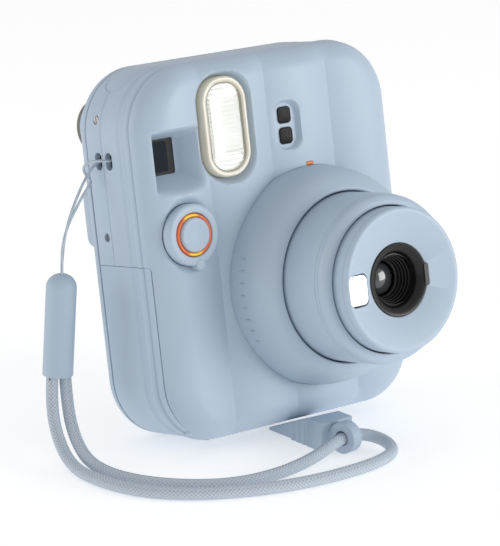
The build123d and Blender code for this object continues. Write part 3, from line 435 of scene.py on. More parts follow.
@dataclass(frozen=True)
class GlowRingFinish(Finish):
    """A lit ring that is orange with two yellow stretches.

    Attributes:
        lit: Colour of the yellow stretches.
        centre: X and Z of the ring's middle.
        stretches: Middle and half width of each stretch, in degrees.
        edge: How sharply a stretch ends.
    """

    lit: Point = (0.86, 0.56, 0.02)
    centre: Pair = (-37.3, 68.3)
    stretches: tuple[Pair, ...] = ((98.0, 30.0), (268.0, 30.0))
    edge: float = 11.0

    def base(self, tree: Tree, grain: Node) -> Socket:
        """Return the ring's colour, from the angle round its middle."""
        middle = BODY @ Vector((self.centre[0], -22.0, self.centre[1]))
        place = tree.nodes.new("ShaderNodeTexCoord").outputs["Object"]
        shift = tree.nodes.new("ShaderNodeVectorMath")
        shift.operation = "SUBTRACT"
        shift.inputs[1].default_value = middle
        tree.links.new(place, shift.inputs[0])
        split = tree.nodes.new("ShaderNodeSeparateXYZ")
        tree.links.new(shift.outputs[0], split.inputs[0])
        angle = math_node(tree, "ARCTAN2", split.outputs["Z"], split.outputs["X"])
        total = None
        for middle_deg, half_deg in self.stretches:
            away = math_node(tree, "SUBTRACT", angle, math.radians(middle_deg))
            near = math_node(tree, "COSINE", away, 0.0)
            mask = math_node(tree, "SUBTRACT", near, math.cos(math.radians(half_deg)))
            mask = math_node(tree, "MULTIPLY", mask, self.edge)
            mask = math_node(tree, "MINIMUM", math_node(tree, "MAXIMUM", mask, 0.0), 1.0)
            total = mask if total is None else math_node(tree, "MAXIMUM", total, mask)
        mix = tree.nodes.new("ShaderNodeMix")
        mix.data_type = "RGBA"
        tree.links.new(total, mix.inputs["Factor"])
        mix.inputs["A"].default_value = (*self.color, 1)
        mix.inputs["B"].default_value = (*self.lit, 1)
        return mix.outputs["Result"]


class Finishes:
    """Every finish of the camera."""

    SHELL = Finish("shell_blue_satin", (0.438, 0.532, 0.638), 0.46)
    LENS_BLUE = Finish("lens_blue_satin", (0.438, 0.532, 0.638), 0.44, grain=4e-6)
    SOFT = Finish("strap_blue_soft", (0.42, 0.515, 0.62), 0.55, grain=9e-6)
    BRAID = BraidFinish("braided_cord", (0.56, 0.64, 0.725), 0.8, grain=9e-5, dust=0.0,
                        turns=15.0, plaits=10.0)
    THREAD = BraidFinish("thin_cord", (0.56, 0.64, 0.73), 0.7, grain=5e-5, dust=0.0,
                         turns=2.0, plaits=3.0)
    BLACK = Finish("matte_black", (0.014, 0.014, 0.015), 0.5, grain=5e-6)
    GLOSS_BLACK = Finish("satin_black", (0.006, 0.006, 0.007), 0.30, grain=2e-6, dust=0.004,
                         specular=0.35)
    SMOKED = Finish("smoked_black_pane", (0.003, 0.003, 0.004), 0.25, grain=0.5e-6, dust=0.0,
                    specular=0.1)
    PANE = Finish("finder_pane", (0.028, 0.033, 0.04), 0.2, grain=0.5e-6, dust=0.0, specular=0.0)
    CLEAR = Finish("clear_plastic", (0.93, 0.95, 0.94), 0.04, grain=0.5e-6, tone=0.0, dust=0.0,
                   clear=1.0)
    RIBBED = RibbedFinish("ribbed_flash_glass", (0.96, 0.97, 0.95), 0.06, grain=1.2e-5, tone=0.0,
                          dust=0.0, clear=1.0)
    LENS_GLASS = Finish("coated_lens_glass", (0.05, 0.053, 0.06), 0.16, grain=0.2e-6, dust=0.0,
                        coat=1.0)
    # Painted light: the cream frame's glow lightens it, as if lit through its clear moulding.
    CREAM = Finish("cream_frame", (0.62, 0.595, 0.49), 0.22, grain=2e-6, coat=0.4, glow=0.12,
                   clear=0.15)
    WARM_GREY = Finish("warm_grey_rubber", (0.17, 0.16, 0.14), 0.45)
    GLOW = GlowRingFinish("glow_orange", (0.58, 0.115, 0.03), 0.3, grain=1e-6, coat=0.2, glow=0.3)
    ORANGE = Finish("orange_mark", (0.85, 0.22, 0.04), 0.45)
    WHITE = Finish("white_moulding", (0.80, 0.80, 0.78), 0.35, soft=0.2)
    MIRROR = Finish("plated_mirror", (0.84, 0.84, 0.85), 0.30, 1.0, grain=0.3e-6, tone=0.01)
    # Painted light: the reflector glows in its own colour in place of the light that the glass holds
    # back.
    SILVER = Finish("flash_silver", (0.62, 0.63, 0.60), 0.35, grain=3e-6, glow=0.22)
    # Painted light: the white end caps glow in their own colour to brighten the inside of the flash.
    CAPS = Finish("flash_white", (0.80, 0.80, 0.78), 0.35, grain=3e-6, glow=0.26)
    # Painted light: the unlit flash tube glows in its own colour.
    TUBE = Finish("flash_tube_glass", (0.9, 0.9, 0.89), 0.2, grain=1e-6, glow=0.5)
    STEEL = Finish("plain_steel", (0.50, 0.49, 0.47), 0.3, 1.0, grain=4e-6, cells=9000.0)
    BRASS = Finish("plain_brass", (0.66, 0.46, 0.16), 0.3, 1.0, grain=4e-6)
    CELL = Finish("cell_wrap", (0.06, 0.09, 0.14), 0.25, coat=0.6)
    BOARD = Finish("green_board", (0.012, 0.12, 0.06), 0.35, grain=2e-5, cells=900.0)


# ---- modelling tools -----------------------------------------------------------------------------

def activate(piece: bpy.types.Object) -> None:
    """Make a piece the only selected and active object."""
    if bpy.context.object and bpy.context.object.mode != "OBJECT":
        bpy.ops.object.mode_set(mode="OBJECT")
    bpy.ops.object.select_all(action="DESELECT")
    piece.hide_set(False)
    piece.select_set(True)
    bpy.context.view_layer.objects.active = piece


@contextmanager
def editing(piece: bpy.types.Object, mode: str = "VERT") -> Iterator[None]:
    """Edit a piece with nothing selected.

    Args:
        piece: Piece to edit.
        mode: Kind of element to select.

    Yields:
        Nothing.
    """
    activate(piece)
    bpy.ops.object.mode_set(mode="EDIT")
    bpy.ops.mesh.select_mode(type=mode)
    bpy.ops.mesh.select_all(action="DESELECT")
    yield
    bpy.ops.object.mode_set(mode="OBJECT")


def pick(piece: bpy.types.Object, kind: str, test: Callable[[Vector, Vector], bool]) -> None:
    """Select vertices, edges or faces by their middle and normal, in edit mode.

    Args:
        piece: Piece in edit mode.
        kind: "verts", "edges" or "faces".
        test: Takes the middle and the normal (or an edge's direction) and says yes or no.
    """
    mesh = bmesh.from_edit_mesh(piece.data)
    for item in getattr(mesh, kind):
        if kind == "verts":
            middle, way = item.co, item.normal
        elif kind == "edges":
            first, last = (v.co for v in item.verts)
            middle, way = (first + last) / 2, (last - first).normalized()
        else:
            middle, way = item.calc_center_median(), item.normal
        if test(middle, way):
            item.select_set(True)
    mesh.select_flush_mode()
    bmesh.update_edit_mesh(piece.data)


def named(name: str) -> bpy.types.Object:
    """Name the object that was just added."""
    piece = bpy.context.object
    piece.name = piece.data.name = name
    return piece


def begin() -> None:
    """Leave edit mode and clear the selection before a primitive is added."""
    if bpy.context.object and bpy.context.object.mode != "OBJECT":
        bpy.ops.object.mode_set(mode="OBJECT")
    bpy.ops.object.select_all(action="DESELECT")


def bake_place(piece: bpy.types.Object, matrix: Matrix = Matrix.Identity(4)) -> None:
    """Move a piece's place, and a further matrix, into its mesh."""
    piece.data.transform(matrix @ piece.matrix_basis)
    piece.matrix_basis = Matrix.Identity(4)
    piece.data.update()


def box(name: str, low: Point, high: Point) -> bpy.types.Object:
    """Add a cube between two corners.

    Args:
        name: Name of the piece.
        low: Lowest corner.
        high: Highest corner.

    Returns:
        The piece, with its place in its mesh.
    """
    begin()
    middle = [(a + b) / 2 for a, b in zip(low, high)]
    bpy.ops.mesh.primitive_cube_add(size=1, location=middle)
    piece = named(name)
    piece.scale = [b - a for a, b in zip(low, high)]
    bake_place(piece)
    return piece


def tube(name: str, centre: Pair, radius: float, back: float, front: float,
         sides: int = 96) -> bpy.types.Object:
    """Add a cylinder that runs from back to front.

    Args:
        name: Name of the piece.
        centre: X and Z of its axis.
        radius: Its radius.
        back: Y of its rear end.
        front: Y of its front end.
        sides: Count of its sides.

    Returns:
        The piece, with its place in its mesh.
    """
    begin()
    bpy.ops.mesh.primitive_cylinder_add(
        vertices=sides, radius=radius, depth=back - front,
        location=(centre[0], (back + front) / 2, centre[1]), rotation=(math.pi / 2, 0, 0))
    piece = named(name)
    bake_place(piece)
    return piece


def crossbar(name: str, middle: Point, radius: float, length: float,
             sides: int) -> bpy.types.Object:
    """Add a cylinder that runs from left to right.

    Args:
        name: Name of the piece.
        middle: Its middle.
        radius: Its radius.
        length: Its length.
        sides: Count of its sides.

    Returns:
        The piece, with its place in its mesh.
    """
    begin()
    bpy.ops.mesh.primitive_cylinder_add(vertices=sides, radius=radius, depth=length,
                                        location=middle, rotation=(0, math.pi / 2, 0))
    piece = named(name)
    bake_place(piece)
    return piece


def round_edges(piece: bpy.types.Object, width: float, test: Callable[[Vector, Vector], bool],
                segments: int = 4) -> None:
    """Bevel the edges that a test picks.

    Args:
        piece: Piece to bevel.
        width: Width of the bevel.
        test: Takes an edge's middle and direction.
        segments: Count of segments.
    """
    with editing(piece, "EDGE"):
        pick(piece, "edges", test)
        bpy.ops.mesh.bevel(offset=width, segments=segments, affect="EDGES")


def soften(piece: bpy.types.Object, width: float, degrees: float = 40.0, segments: int = 2) -> None:
    """Round every edge sharper than an angle with a modifier, and apply it."""
    activate(piece)
    bevel = piece.modifiers.new("soft_edges", "BEVEL")
    bevel.width, bevel.segments = width, segments
    bevel.limit_method, bevel.angle_limit = "ANGLE", math.radians(degrees)
    bevel.use_clamp_overlap = True
    bpy.ops.object.modifier_apply(modifier=bevel.name)


def cut(piece: bpy.types.Object, cutters: Sequence[bpy.types.Object],
        operation: str = "DIFFERENCE") -> None:
    """Cut, intersect or join a piece with cutters, which are then removed.

    Args:
        piece: Piece to change.
        cutters: Closed pieces.
        operation: "DIFFERENCE", "INTERSECT" or "UNION".
    """
    for cutter in cutters:
        activate(piece)
        made = piece.modifiers.new("cut", "BOOLEAN")
        made.operation, made.solver, made.object = operation, "EXACT", cutter
        bpy.ops.object.modifier_apply(modifier=made.name)
        bpy.data.objects.remove(cutter)


def merge(piece: bpy.types.Object, distance: float = 0.002) -> None:
    """Merge doubles and turn the faces outwards."""
    with editing(piece):
        bpy.ops.mesh.select_all(action="SELECT")
        bpy.ops.mesh.remove_doubles(threshold=distance)
        bpy.ops.mesh.normals_make_consistent(inside=False)


def join(pieces: Sequence[bpy.types.Object], name: str) -> bpy.types.Object:
    """Join pieces into the first.

    Args:
        pieces: Pieces to join.
        name: Name of the result.

    Returns:
        The joined piece.
    """
    activate(pieces[0])
    for piece in pieces[1:]:
        piece.select_set(True)
    bpy.ops.object.join()
    return named(name)


def spin(name: str, profile: Sequence[Pair], centre: Pair, steps: int = 128,
         closed: bool = True) -> bpy.types.Object:
    """Spin a profile about an axis that runs from front to back.

    Args:
        name: Name of the piece.
        profile: Points of radius and Y; a closed profile makes a ring.
        centre: X and Z of the axis.
        steps: Count of steps round.
        closed: Whether the last point joins the first.

    Returns:
        The piece.
    """
    begin()
    count = len(profile)
    bpy.ops.mesh.primitive_circle_add(vertices=count, radius=1)
    piece = named(name)
    for vertex, (radius, y) in zip(piece.data.vertices, profile):
        vertex.co = (centre[0] + radius, y, centre[1])
    with editing(piece):
        if not closed:
            mesh = bmesh.from_edit_mesh(piece.data)
            mesh.verts.ensure_lookup_table()
            seam = mesh.edges.get((mesh.verts[0], mesh.verts[-1]))
            mesh.edges.remove(seam)
            bmesh.update_edit_mesh(piece.data)
        bpy.ops.mesh.select_all(action="SELECT")
        bpy.ops.mesh.spin(steps=steps, angle=2 * math.pi, center=(centre[0], 0, centre[1]),
                          axis=(0, 1, 0))
    merge(piece)
    return piece


def arc(centre: Pair, radii: Pair, start: float, end: float, steps: int) -> list[Pair]:
    """Points on an elliptical arc, in degrees.

    Args:
        centre: Middle of the ellipse.
        radii: Its two radii.
        start: First angle.
        end: Last angle.
        steps: Count of steps.

    Returns:
        The points.
    """
    angles = [math.radians(start + (end - start) * i / steps) for i in range(steps + 1)]
    return [(centre[0] + radii[0] * math.cos(a), centre[1] + radii[1] * math.sin(a))
            for a in angles]


@dataclass(frozen=True)
class RoundedRect:
    """A rounded rectangle seen from the front.

    Attributes:
        x: X of its middle.
        z: Z of its middle.
        width: Its width.
        height: Its height.
        radius: Its corner radius.
    """

    x: float
    z: float
    width: float
    height: float
    radius: float

    def core(self, x: float, z: float) -> Pair:
        """Nearest point of the inner rectangle that the corner circles run on."""
        half_w, half_h = self.width / 2 - self.radius, self.height / 2 - self.radius
        return (self.x + max(-half_w, min(half_w, x - self.x)),
                self.z + max(-half_h, min(half_h, z - self.z)))

    def distance(self, x: float, z: float) -> float:
        """Distance outside the outline, negative inside."""
        dx = abs(x - self.x) - self.width / 2 + self.radius
        dz = abs(z - self.z) - self.height / 2 + self.radius
        outside = math.hypot(max(dx, 0), max(dz, 0))
        return outside + min(max(dx, dz), 0) - self.radius

    def place(self, x: float, z: float, inset: float) -> Pair:
        """Slide a point of an outline to another inset."""
        cx, cz = self.core(x, z)
        length = math.hypot(x - cx, z - cz) or 1.0
        reach = self.radius - inset
        return cx + (x - cx) / length * reach, cz + (z - cz) / length * reach

    def ring(self, corner: int, side: int) -> list[Pair]:
        """Points round the outline.

        Args:
            corner: Steps in each corner.
            side: Steps in each straight side.

        Returns:
            Points of X and Z.
        """
        half_w, half_h = self.width / 2 - self.radius, self.height / 2 - self.radius
        points: list[Pair] = []
        for k, (sx, sz) in enumerate(((1, 1), (-1, 1), (-1, -1), (1, -1))):
            points += arc((self.x + sx * half_w, self.z + sz * half_h), (self.radius,) * 2,
                          90 * k, 90 * k + 90, corner)
            nsx, nsz = ((-1, 1), (-1, -1), (1, -1), (1, 1))[k]
            end = points[-1]
            away = ((self.x + nsx * half_w, end[1]) if k % 2 == 0
                    else (end[0], self.z + nsz * half_h))
            points += [(end[0] + (away[0] - end[0]) * i / side,
                        end[1] + (away[1] - end[1]) * i / side) for i in range(1, side)]
        return points


def extrude_rings(piece: bpy.types.Object, shape: RoundedRect,
                  profile: Sequence[tuple[float, float | Callable[[float, float], float]]]
                  ) -> None:
    """Extrude the open edge loop ring by ring, in edit mode with that loop selected.

    Args:
        piece: Piece in edit mode.
        shape: Outline that each ring follows.
        profile: Inset of each ring and its Y, or a function of X and Z that gives its Y.
    """
    for inset, depth in profile:
        bpy.ops.mesh.extrude_edges_move()
        mesh = bmesh.from_edit_mesh(piece.data)
        for vertex in mesh.verts:
            if vertex.select:
                x, z = shape.place(vertex.co.x, vertex.co.z, inset)
                vertex.co = (x, depth(x, z) if callable(depth) else depth, z)
        bmesh.update_edit_mesh(piece.data)


def ring_shell(name: str, shape: RoundedRect, profile: Sequence, corner: int = 20,
               side: int = 3) -> bpy.types.Object:
    """Closed shell whose section is a closed profile carried round an outline.

    Args:
        name: Name of the piece.
        shape: The outline.
        profile: Inset and Y of each point of the section.
        corner: Steps in each corner.
        side: Steps in each side.

    Returns:
        The piece.
    """
    begin()
    points = shape.ring(corner, side)
    bpy.ops.mesh.primitive_circle_add(vertices=len(points), radius=1)
    piece = named(name)
    for vertex, (x, z) in zip(piece.data.vertices, points):
        x, z = shape.place(x, z, profile[0][0])
        depth = profile[0][1]
        vertex.co = (x, depth(x, z) if callable(depth) else depth, z)
    with editing(piece):
        bpy.ops.mesh.select_all(action="SELECT")
        extrude_rings(piece, shape, list(profile[1:]) + [profile[0]])
    merge(piece)
    return piece


def prism(name: str, shape: RoundedRect, back: float, front: float, corner: int = 12
          ) -> bpy.types.Object:
    """Solid of an outline from back to front, with flat ends.

    Args:
        name: Name of the piece.
        shape: The outline.
        back: Y of the rear face.
        front: Y of the front face.
        corner: Steps in each corner.

    Returns:
        The piece.
    """
    begin()
    points = shape.ring(corner, 1)
    bpy.ops.mesh.primitive_circle_add(vertices=len(points), radius=1, fill_type="NGON")
    piece = named(name)
    for vertex, (x, z) in zip(piece.data.vertices, points):
        vertex.co = (x, back, z)
    with editing(piece, "FACE"):
        bpy.ops.mesh.select_all(action="SELECT")
        bpy.ops.mesh.extrude_region_move(TRANSFORM_OT_translate={"value": (0, front - back, 0)})
        bpy.ops.mesh.select_all(action="SELECT")
        bpy.ops.mesh.normals_make_consistent(inside=False)
    return piece


class Place(Enum):
    """Where a piece was shaped."""

    BODY = "body"
    STRAP = "strap"
    ROW = "row"


PLACES = {Place.BODY: BODY, Place.STRAP: STRAP, Place.ROW: Matrix.Identity(4)}


def finish_piece(piece: bpy.types.Object, finish: Finish, body: str, slot: str,
                 replaces: Sequence[str] = (), place: Place = Place.BODY,
                 smooth: float = 28.0) -> bpy.types.Object:
    """Move a piece to its place, dress it and let it ride on its body.

    Args:
        piece: The shaped piece.
        finish: Its finish.
        body: CAD body it rides on.
        slot: The record's material slot; not used.
        replaces: CAD nodes it stands for.
        place: Where it was shaped.
        smooth: Angle, in degrees, past which an edge stays sharp.

    Returns:
        The piece.
    """
    bake_place(piece, PLACES[place])
    piece.data.materials.clear()
    piece.data.materials.append(finish.material())
    activate(piece)
    bpy.ops.object.shade_smooth_by_angle(angle=math.radians(smooth))
    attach(piece, body)
    if replaces:
        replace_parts(piece, *replaces)
    LOG.info("%s: %d faces", piece.name, len(piece.data.polygons))
    return piece


def refined(node: str, finish: Finish, body: str, slot: str, edge: float = 0.15,
            name: str = "") -> bpy.types.Object:
    """Merged and softened copy of a CAD node whose shape is right.

    Args:
        node: The CAD node.
        finish: Its finish.
        body: CAD body it rides on.
        slot: The record's material slot.
        edge: Width of the softened edges, in millimetres.
        name: Name of the piece.

    Returns:
        The piece.
    """
    source = frame["nodes"][node]
    begin()
    piece = bpy.data.objects.new(name or f"{node}_moulded", source.data.copy())
    bpy.context.scene.collection.objects.link(piece)
    with editing(piece):
        bpy.ops.mesh.select_all(action="SELECT")
        bpy.ops.mesh.remove_doubles(threshold=2e-6)
        bpy.ops.mesh.dissolve_limited(angle_limit=math.radians(0.5))
    if edge:
        soften(piece, edge * MM, 38.0)
    return finish_piece(piece, finish, body, slot, (node,), Place.ROW)


# ---- the camera's shell --------------------------------------------------------------------------

OUTLINE = RoundedRect(0.0, 61.0, 104.0, 122.0, 21.0)
CREASE_Y, ROLL_START_Y, CROWN = -18.5, -13.0, 1.9
SEAM_Y, DOOR_Y = 2.8, 11.4
WALL = 2.0
LENS = (13.1, 46.8)
BUTTON = (-37.3, 68.3)
FLASH = RoundedRect(-18.1, 100.4, 18.2, 32.8, 8.3)
SENSORS = (6.5, 97.4)
SENSOR_RISE = 3.4                     # from the middle of the pair to the middle of one sensor
MARK = (13.9, 83.9)
SENSOR_POCKET = RoundedRect(*SENSORS, 9.0, 14.8, 3.9)
FINDER = RoundedRect(-40.2, 93.5, 12.5, 11.8, 0.9)


def smooth_max(first: float, second: float, blend: float) -> float:
    """Larger of two values, rounded where they meet.

    Args:
        first: One value.
        second: The other value.
        blend: Width of the rounding.

    Returns:
        The rounded maximum.
    """
    near = max(blend - abs(first - second), 0.0) / blend
    return max(first, second) + near * near * blend / 4


@dataclass
class FrontFace:
    """Depth of the lobed front, with the soft recesses round what sits in it.

    Attributes:
        creases: X of the outer creases.
        lobe_half: Half the width of an inner lobe.
        outer_half: Width of an outer lobe's slope.
        side_roll: Width of the roll at the sides.
        end_roll: Width of the roll at the top and bottom.
        finder_slopes: Slopes of the funnel from its left, right, top and bottom.
        finder_mouth: Left, right, top and bottom edges of the funnel.
        finder_floor: Y of the funnel's floor.
    """

    creases: float = 26.0
    lobe_half: float = 13.0
    outer_half: float = 14.0
    side_roll: float = 12.0
    end_roll: float = 7.0
    finder_slopes: tuple[float, float, float, float] = (10.0, 1.37, 2.8, 1.67)
    finder_mouth: tuple[float, float, float, float] = (-47.4, -27.0, 102.3, 81.9)
    finder_floor: float = -11.0

    def bulge(self, x: float) -> float:
        """Height of the lobes at X."""
        across = abs(x)
        if across < self.creases:
            return CROWN * (1 - ((across - self.lobe_half) / self.lobe_half) ** 2)
        crown = self.creases + self.outer_half
        return CROWN * (1 - ((min(across, crown) - crown) / self.outer_half) ** 2)

    def roll(self, x: float, z: float, inset: float) -> float:
        """Share of the full depth that the rounded rim reaches at an inset."""
        core_x, core_z = OUTLINE.core(x, z)
        lean = math.atan2(abs(z - core_z), abs(x - core_x) + 1e-9)
        share = math.sin(lean) ** 2
        width = self.side_roll + (self.end_roll - self.side_roll) * share
        return math.sqrt(1 - (1 - min(inset / width, 1.0)) ** 2)

    def finder_funnel(self, x: float, z: float) -> float:
        """Depth of the four planes that lead to the finder's window."""
        left, right, top, bottom = self.finder_mouth
        to_left, to_right, to_top, to_bottom = self.finder_slopes
        planes = ((x - left) * to_left, (right - x) * to_right,
                  (top - z) * to_top, (z - bottom) * to_bottom)
        nearest = planes[0]
        for plane in planes[1:]:
            nearest = -smooth_max(-nearest, -plane, 2.4)
        return min(self.finder_floor, CREASE_Y - CROWN + nearest)

    def depth(self, x: float, z: float, inset: float) -> float:
        """Y of the face at a point.

        Args:
            x: X of the point.
            z: Z of the point.
            inset: Its distance in from the outline.

        Returns:
            Y, smaller in front.
        """
        rise = ROLL_START_Y - CREASE_Y + self.bulge(x)
        y = ROLL_START_Y - rise * self.roll(x, z, inset)
        y = smooth_max(y, -16.2 - 1.9 * FLASH.distance(x, z), 0.9)
        pocket = CREASE_Y - 1.9 * SENSOR_POCKET.distance(x, z)
        y = smooth_max(y, min(CREASE_Y, pocket), 0.45)
        off_button = math.hypot(x - BUTTON[0], z - BUTTON[1])
        y = smooth_max(y, -19.0 - 0.7 * (off_button - 10.3), 0.6)
        return smooth_max(y, self.finder_funnel(x, z), 1.9)


@dataclass
class CoverGrid:
    """Grid that covers a rounded rectangle: a plain core with rings round it.

    Attributes:
        insets: Inset of each ring, from the outline inwards.
        fine: Spacing in the busy corner of the face.
        coarse: Spacing elsewhere.
    """

    insets: tuple[float, ...] = (
        0, .12, .45, 1, 1.7, 2.5, 3.3, 4, 4.7, 5.2, 5.7, 6.2, 6.8, 7.4, 8, 8.7, 9.4, 10.1, 10.8,
        11.5, 12.2, 12.9, 13.6, 14.3, 15, 15.7, 16.4, 17.1, 17.8, 18.5, 19.2, 20, 21)
    fine: float = 0.58
    coarse: float = 1.8

    @staticmethod
    def spread(start: float, end: float, step: float) -> list[float]:
        """Even places from start up to, but without, end."""
        count = max(1, round((end - start) / step))
        return [start + (end - start) * i / count for i in range(count)]

    def columns(self) -> list[float]:
        """X of the core's columns, with one on each crease."""
        return (self.spread(-31, -26, self.fine) + self.spread(-26, 0, self.fine)
                + self.spread(0, 12, self.fine) + self.spread(12, 26, self.coarse)
                + self.spread(26, 31, self.coarse) + [31.0])

    def rows(self) -> list[float]:
        """Z of the core's rows."""
        return self.spread(21, 55, self.coarse) + self.spread(55, 101, self.fine) + [101.0]

    def point(self, i: int, j: int, xs: Sequence[float], zs: Sequence[float]
              ) -> tuple[float, float, float]:
        """Place of a grid point.

        Args:
            i: Column.
            j: Row.
            xs: Core columns.
            zs: Core rows.

        Returns:
            X, Z and the inset from the outline.
        """
        rings = len(self.insets) - 1
        last_i, last_j = len(xs) - 1 + 2 * rings, len(zs) - 1 + 2 * rings
        from_i, from_j = min(i, last_i - i), min(j, last_j - j)
        side = -1 if i < last_i / 2 else 1
        end = -1 if j < last_j / 2 else 1
        radius, mid_z = OUTLINE.radius, OUTLINE.z
        core_x, core_z = OUTLINE.width / 2 - radius, OUTLINE.height / 2 - radius
        if from_i >= rings and from_j >= rings:
            return xs[i - rings], zs[j - rings], radius
        if from_i >= rings:
            inset = self.insets[from_j]
            return xs[i - rings], mid_z + end * (core_z + radius - inset), inset
        if from_j >= rings:
            inset = self.insets[from_i]
            return side * (core_x + radius - inset), zs[j - rings], inset
        ring = min(from_i, from_j)
        quarter = math.pi / 4
        if from_i <= from_j:
            turn = quarter * (rings - from_j) / (rings - ring)
        else:
            turn = 2 * quarter - quarter * (rings - from_i) / (rings - ring)
        reach = radius - self.insets[ring]
        return (side * (core_x + reach * math.cos(turn)),
                mid_z + end * (core_z + reach * math.sin(turn)), self.insets[ring])

    def build(self, name: str, face: FrontFace, wall: float) -> bpy.types.Object:
        """Add the grid, moved in from the outline and back by a wall.

        Args:
            name: Name of the piece.
            face: Depth of the face.
            wall: 0 for the outer skin.

        Returns:
            The skin, an open sheet.
        """
        xs, zs = self.columns(), self.rows()
        rings = len(self.insets) - 1
        across, up = len(xs) - 1 + 2 * rings, len(zs) - 1 + 2 * rings
        begin()
        bpy.ops.mesh.primitive_grid_add(x_subdivisions=across, y_subdivisions=up, size=2)
        piece = named(name)
        for index, vertex in enumerate(piece.data.vertices):
            j, i = divmod(index, across + 1)
            x, z, inset = self.point(i, j, xs, zs)
            if wall:
                inset += wall * (1 - inset / OUTLINE.radius)
                x, z = OUTLINE.place(x, z, inset)
            vertex.co = (x, face.depth(x, z, inset) + wall, z)
        return piece


@dataclass
class Shell:
    """The outer mouldings: covers, doors, trim, finder ring, feet and screws.

    Attributes:
        rim: Section of the band's rear part, from the bead to the inner wall.
        seam: Gap round an inlaid piece.
        hole_reach: Y from which, and to which, the front's openings are cut.
        screw_heights: Z of the side screws.
        lug_z: Height of the cord slots.
    """

    seam: float = 0.15
    hole_reach: Pair = (5.0, -30.0)
    screw_heights: Pair = (107.0, 68.8)
    lug_z: float = 93.7
    rim: tuple[Pair, ...] = (
        (0.3, -8.8), (0.45, -7.8), (0.35, -6.6), (0, -6.0), (-0.03, -5.6), (0, -5), (0, 2.35),
        (0.08, 2.6), (0.28, 2.8), (WALL, 2.8))

    @staticmethod
    def bead() -> list[Pair]:
        """Section of the raised bead where the band meets the face."""
        return [(0.55 - 1.0 * math.sin(a), -10.95 - 1.75 * math.cos(a))
                for a in (math.pi * i / 10 for i in range(11))]

    def side_profile(self) -> list[Pair]:
        """Section of the band, from the face's rim to the inner wall."""
        return [(0.45, -12.75)] + self.bead() + list(self.rim)

    @staticmethod
    def bay_zone(gap: float) -> bpy.types.Object:
        """Block that the battery door fills.

        Args:
            gap: Clearance added round it.

        Returns:
            The block.
        """
        block = box("bay_zone", (-70.0, -15.75 - gap, -20.0), (-43.0 + gap, 11.3 + gap, 59.5 + gap))
        round_edges(block, 1.5, lambda middle, way: abs(way.x) > 0.9 and middle.y < 0
                    and middle.z > 0)
        return block

    @staticmethod
    def trim_zone(gap: float) -> bpy.types.Object:
        """Capsule-ended block that the top trim fills.

        Args:
            gap: Clearance added round it.

        Returns:
            The block.
        """
        block = box("trim_zone", (-46 - gap, -4 - gap, 112), (46 + gap, 9 + gap, 140))
        round_edges(block, 6.0 + gap, lambda middle, way: abs(way.z) > 0.9, 10)
        return block

    def front_cover(self) -> bpy.types.Object:
        """Mould the front cover and cut its openings."""
        face, grid = FrontFace(), CoverGrid()
        outer = grid.build("front_cover_moulded", face, 0.0)
        with editing(outer, "EDGE"):
            bpy.ops.mesh.select_all(action="SELECT")
            bpy.ops.mesh.region_to_loop()
            rim = (WALL, lambda x, z: face.depth(x, z, WALL) + WALL)
            extrude_rings(outer, OUTLINE, self.side_profile() + [rim])
        inner = grid.build("inner_skin", face, WALL)
        piece = join([outer, inner], "front_cover_moulded")
        merge(piece)
        back, front = self.hole_reach
        holes = [tube("bore", LENS, 29.8, 20, front),
                 tube("counterbore", LENS, 36.45, -18.1, front, 160),
                 prism("flash_hole", FLASH, back, front, 20),
                 tube("button_hole", BUTTON, 10.14, back, front)]
        holes += [prism("sensor_hole", RoundedRect(SENSORS[0], SENSORS[1] + rise, 5.9, 5.9, 1.6),
                        back, front) for rise in (-SENSOR_RISE, SENSOR_RISE)]
        holes.append(prism("finder_hole", FINDER, back, front))
        holes.append(prism("mark_hole", RoundedRect(*MARK, 3.1, 1.3, 0.6), back, front))
        holes += [self.lug_hole(-0.5), *self.inlay_zones()]
        cut(piece, holes)
        return piece

    def inlay_zones(self) -> list[bpy.types.Object]:
        """Blocks that clear the battery door and the top trim, with the seam round them."""
        return [self.bay_zone(self.seam), self.trim_zone(self.seam)]

    def lug_hole(self, y: float) -> bpy.types.Object:
        """Slot in the side wall that the thin cord passes through.

        Args:
            y: Its place along the body.

        Returns:
            The block.
        """
        block = box("lug_hole", (-60, y - 1.8, self.lug_z - 2.9), (-46, y + 1.8, self.lug_z + 2.9))
        round_edges(block, 1.7, lambda middle, way: abs(way.x) > 0.9, 5)
        return block

    def rear_housing(self) -> bpy.types.Object:
        """Mould the ring between the two covers."""
        profile = [(0.3, SEAM_Y + 0.02), (0.08, 3.06), (0, 3.3), (0, 10.8), (0.12, 11.1),
                   (0.45, 11.38), (WALL, 11.38), (WALL, SEAM_Y + 0.02)]
        piece = ring_shell("rear_housing_moulded", OUTLINE, profile, 24, 4)
        holes = [self.lug_hole(5.2), *self.inlay_zones()]
        holes += [crossbar("screw_hole", (-50, 5.4, z), 1.45, 8, 40) for z in self.screw_heights]
        cut(piece, holes)
        return piece

    def battery_door(self) -> bpy.types.Object:
        """Mould the door that wraps the lower left corner, ribbed like the band."""
        profile = [(0.8, -15.6), (0.45, -12.75)] + self.bead() + list(self.rim[:6])
        profile += [(0, 11.0), (0.3, 11.3), (WALL, 11.3), (WALL, -11.0), (3.4, -15.2)]
        piece = ring_shell("battery_door_moulded", OUTLINE, profile, 24, 4)
        cut(piece, [self.bay_zone(0.0)], "INTERSECT")
        return piece

    def top_trim(self) -> bpy.types.Object:
        """Mould the strip let into the top, with its film slot."""
        profile = [(0.0, -8.0), (0.0, 13.0), (WALL, 13.0), (WALL, -8.0)]
        piece = ring_shell("top_trim_moulded", OUTLINE, profile, 24, 4)
        cut(piece, [self.trim_zone(0.0)], "INTERSECT")
        slot = box("film_slot", (13.1 - 27.8, 0.3, 100), (13.1 + 27.8, 7.9, 140))
        round_edges(slot, 1.4, lambda middle, way: abs(way.z) > 0.9, 5)
        cut(piece, [slot])
        soften(piece, 0.22, 45.0)
        return piece

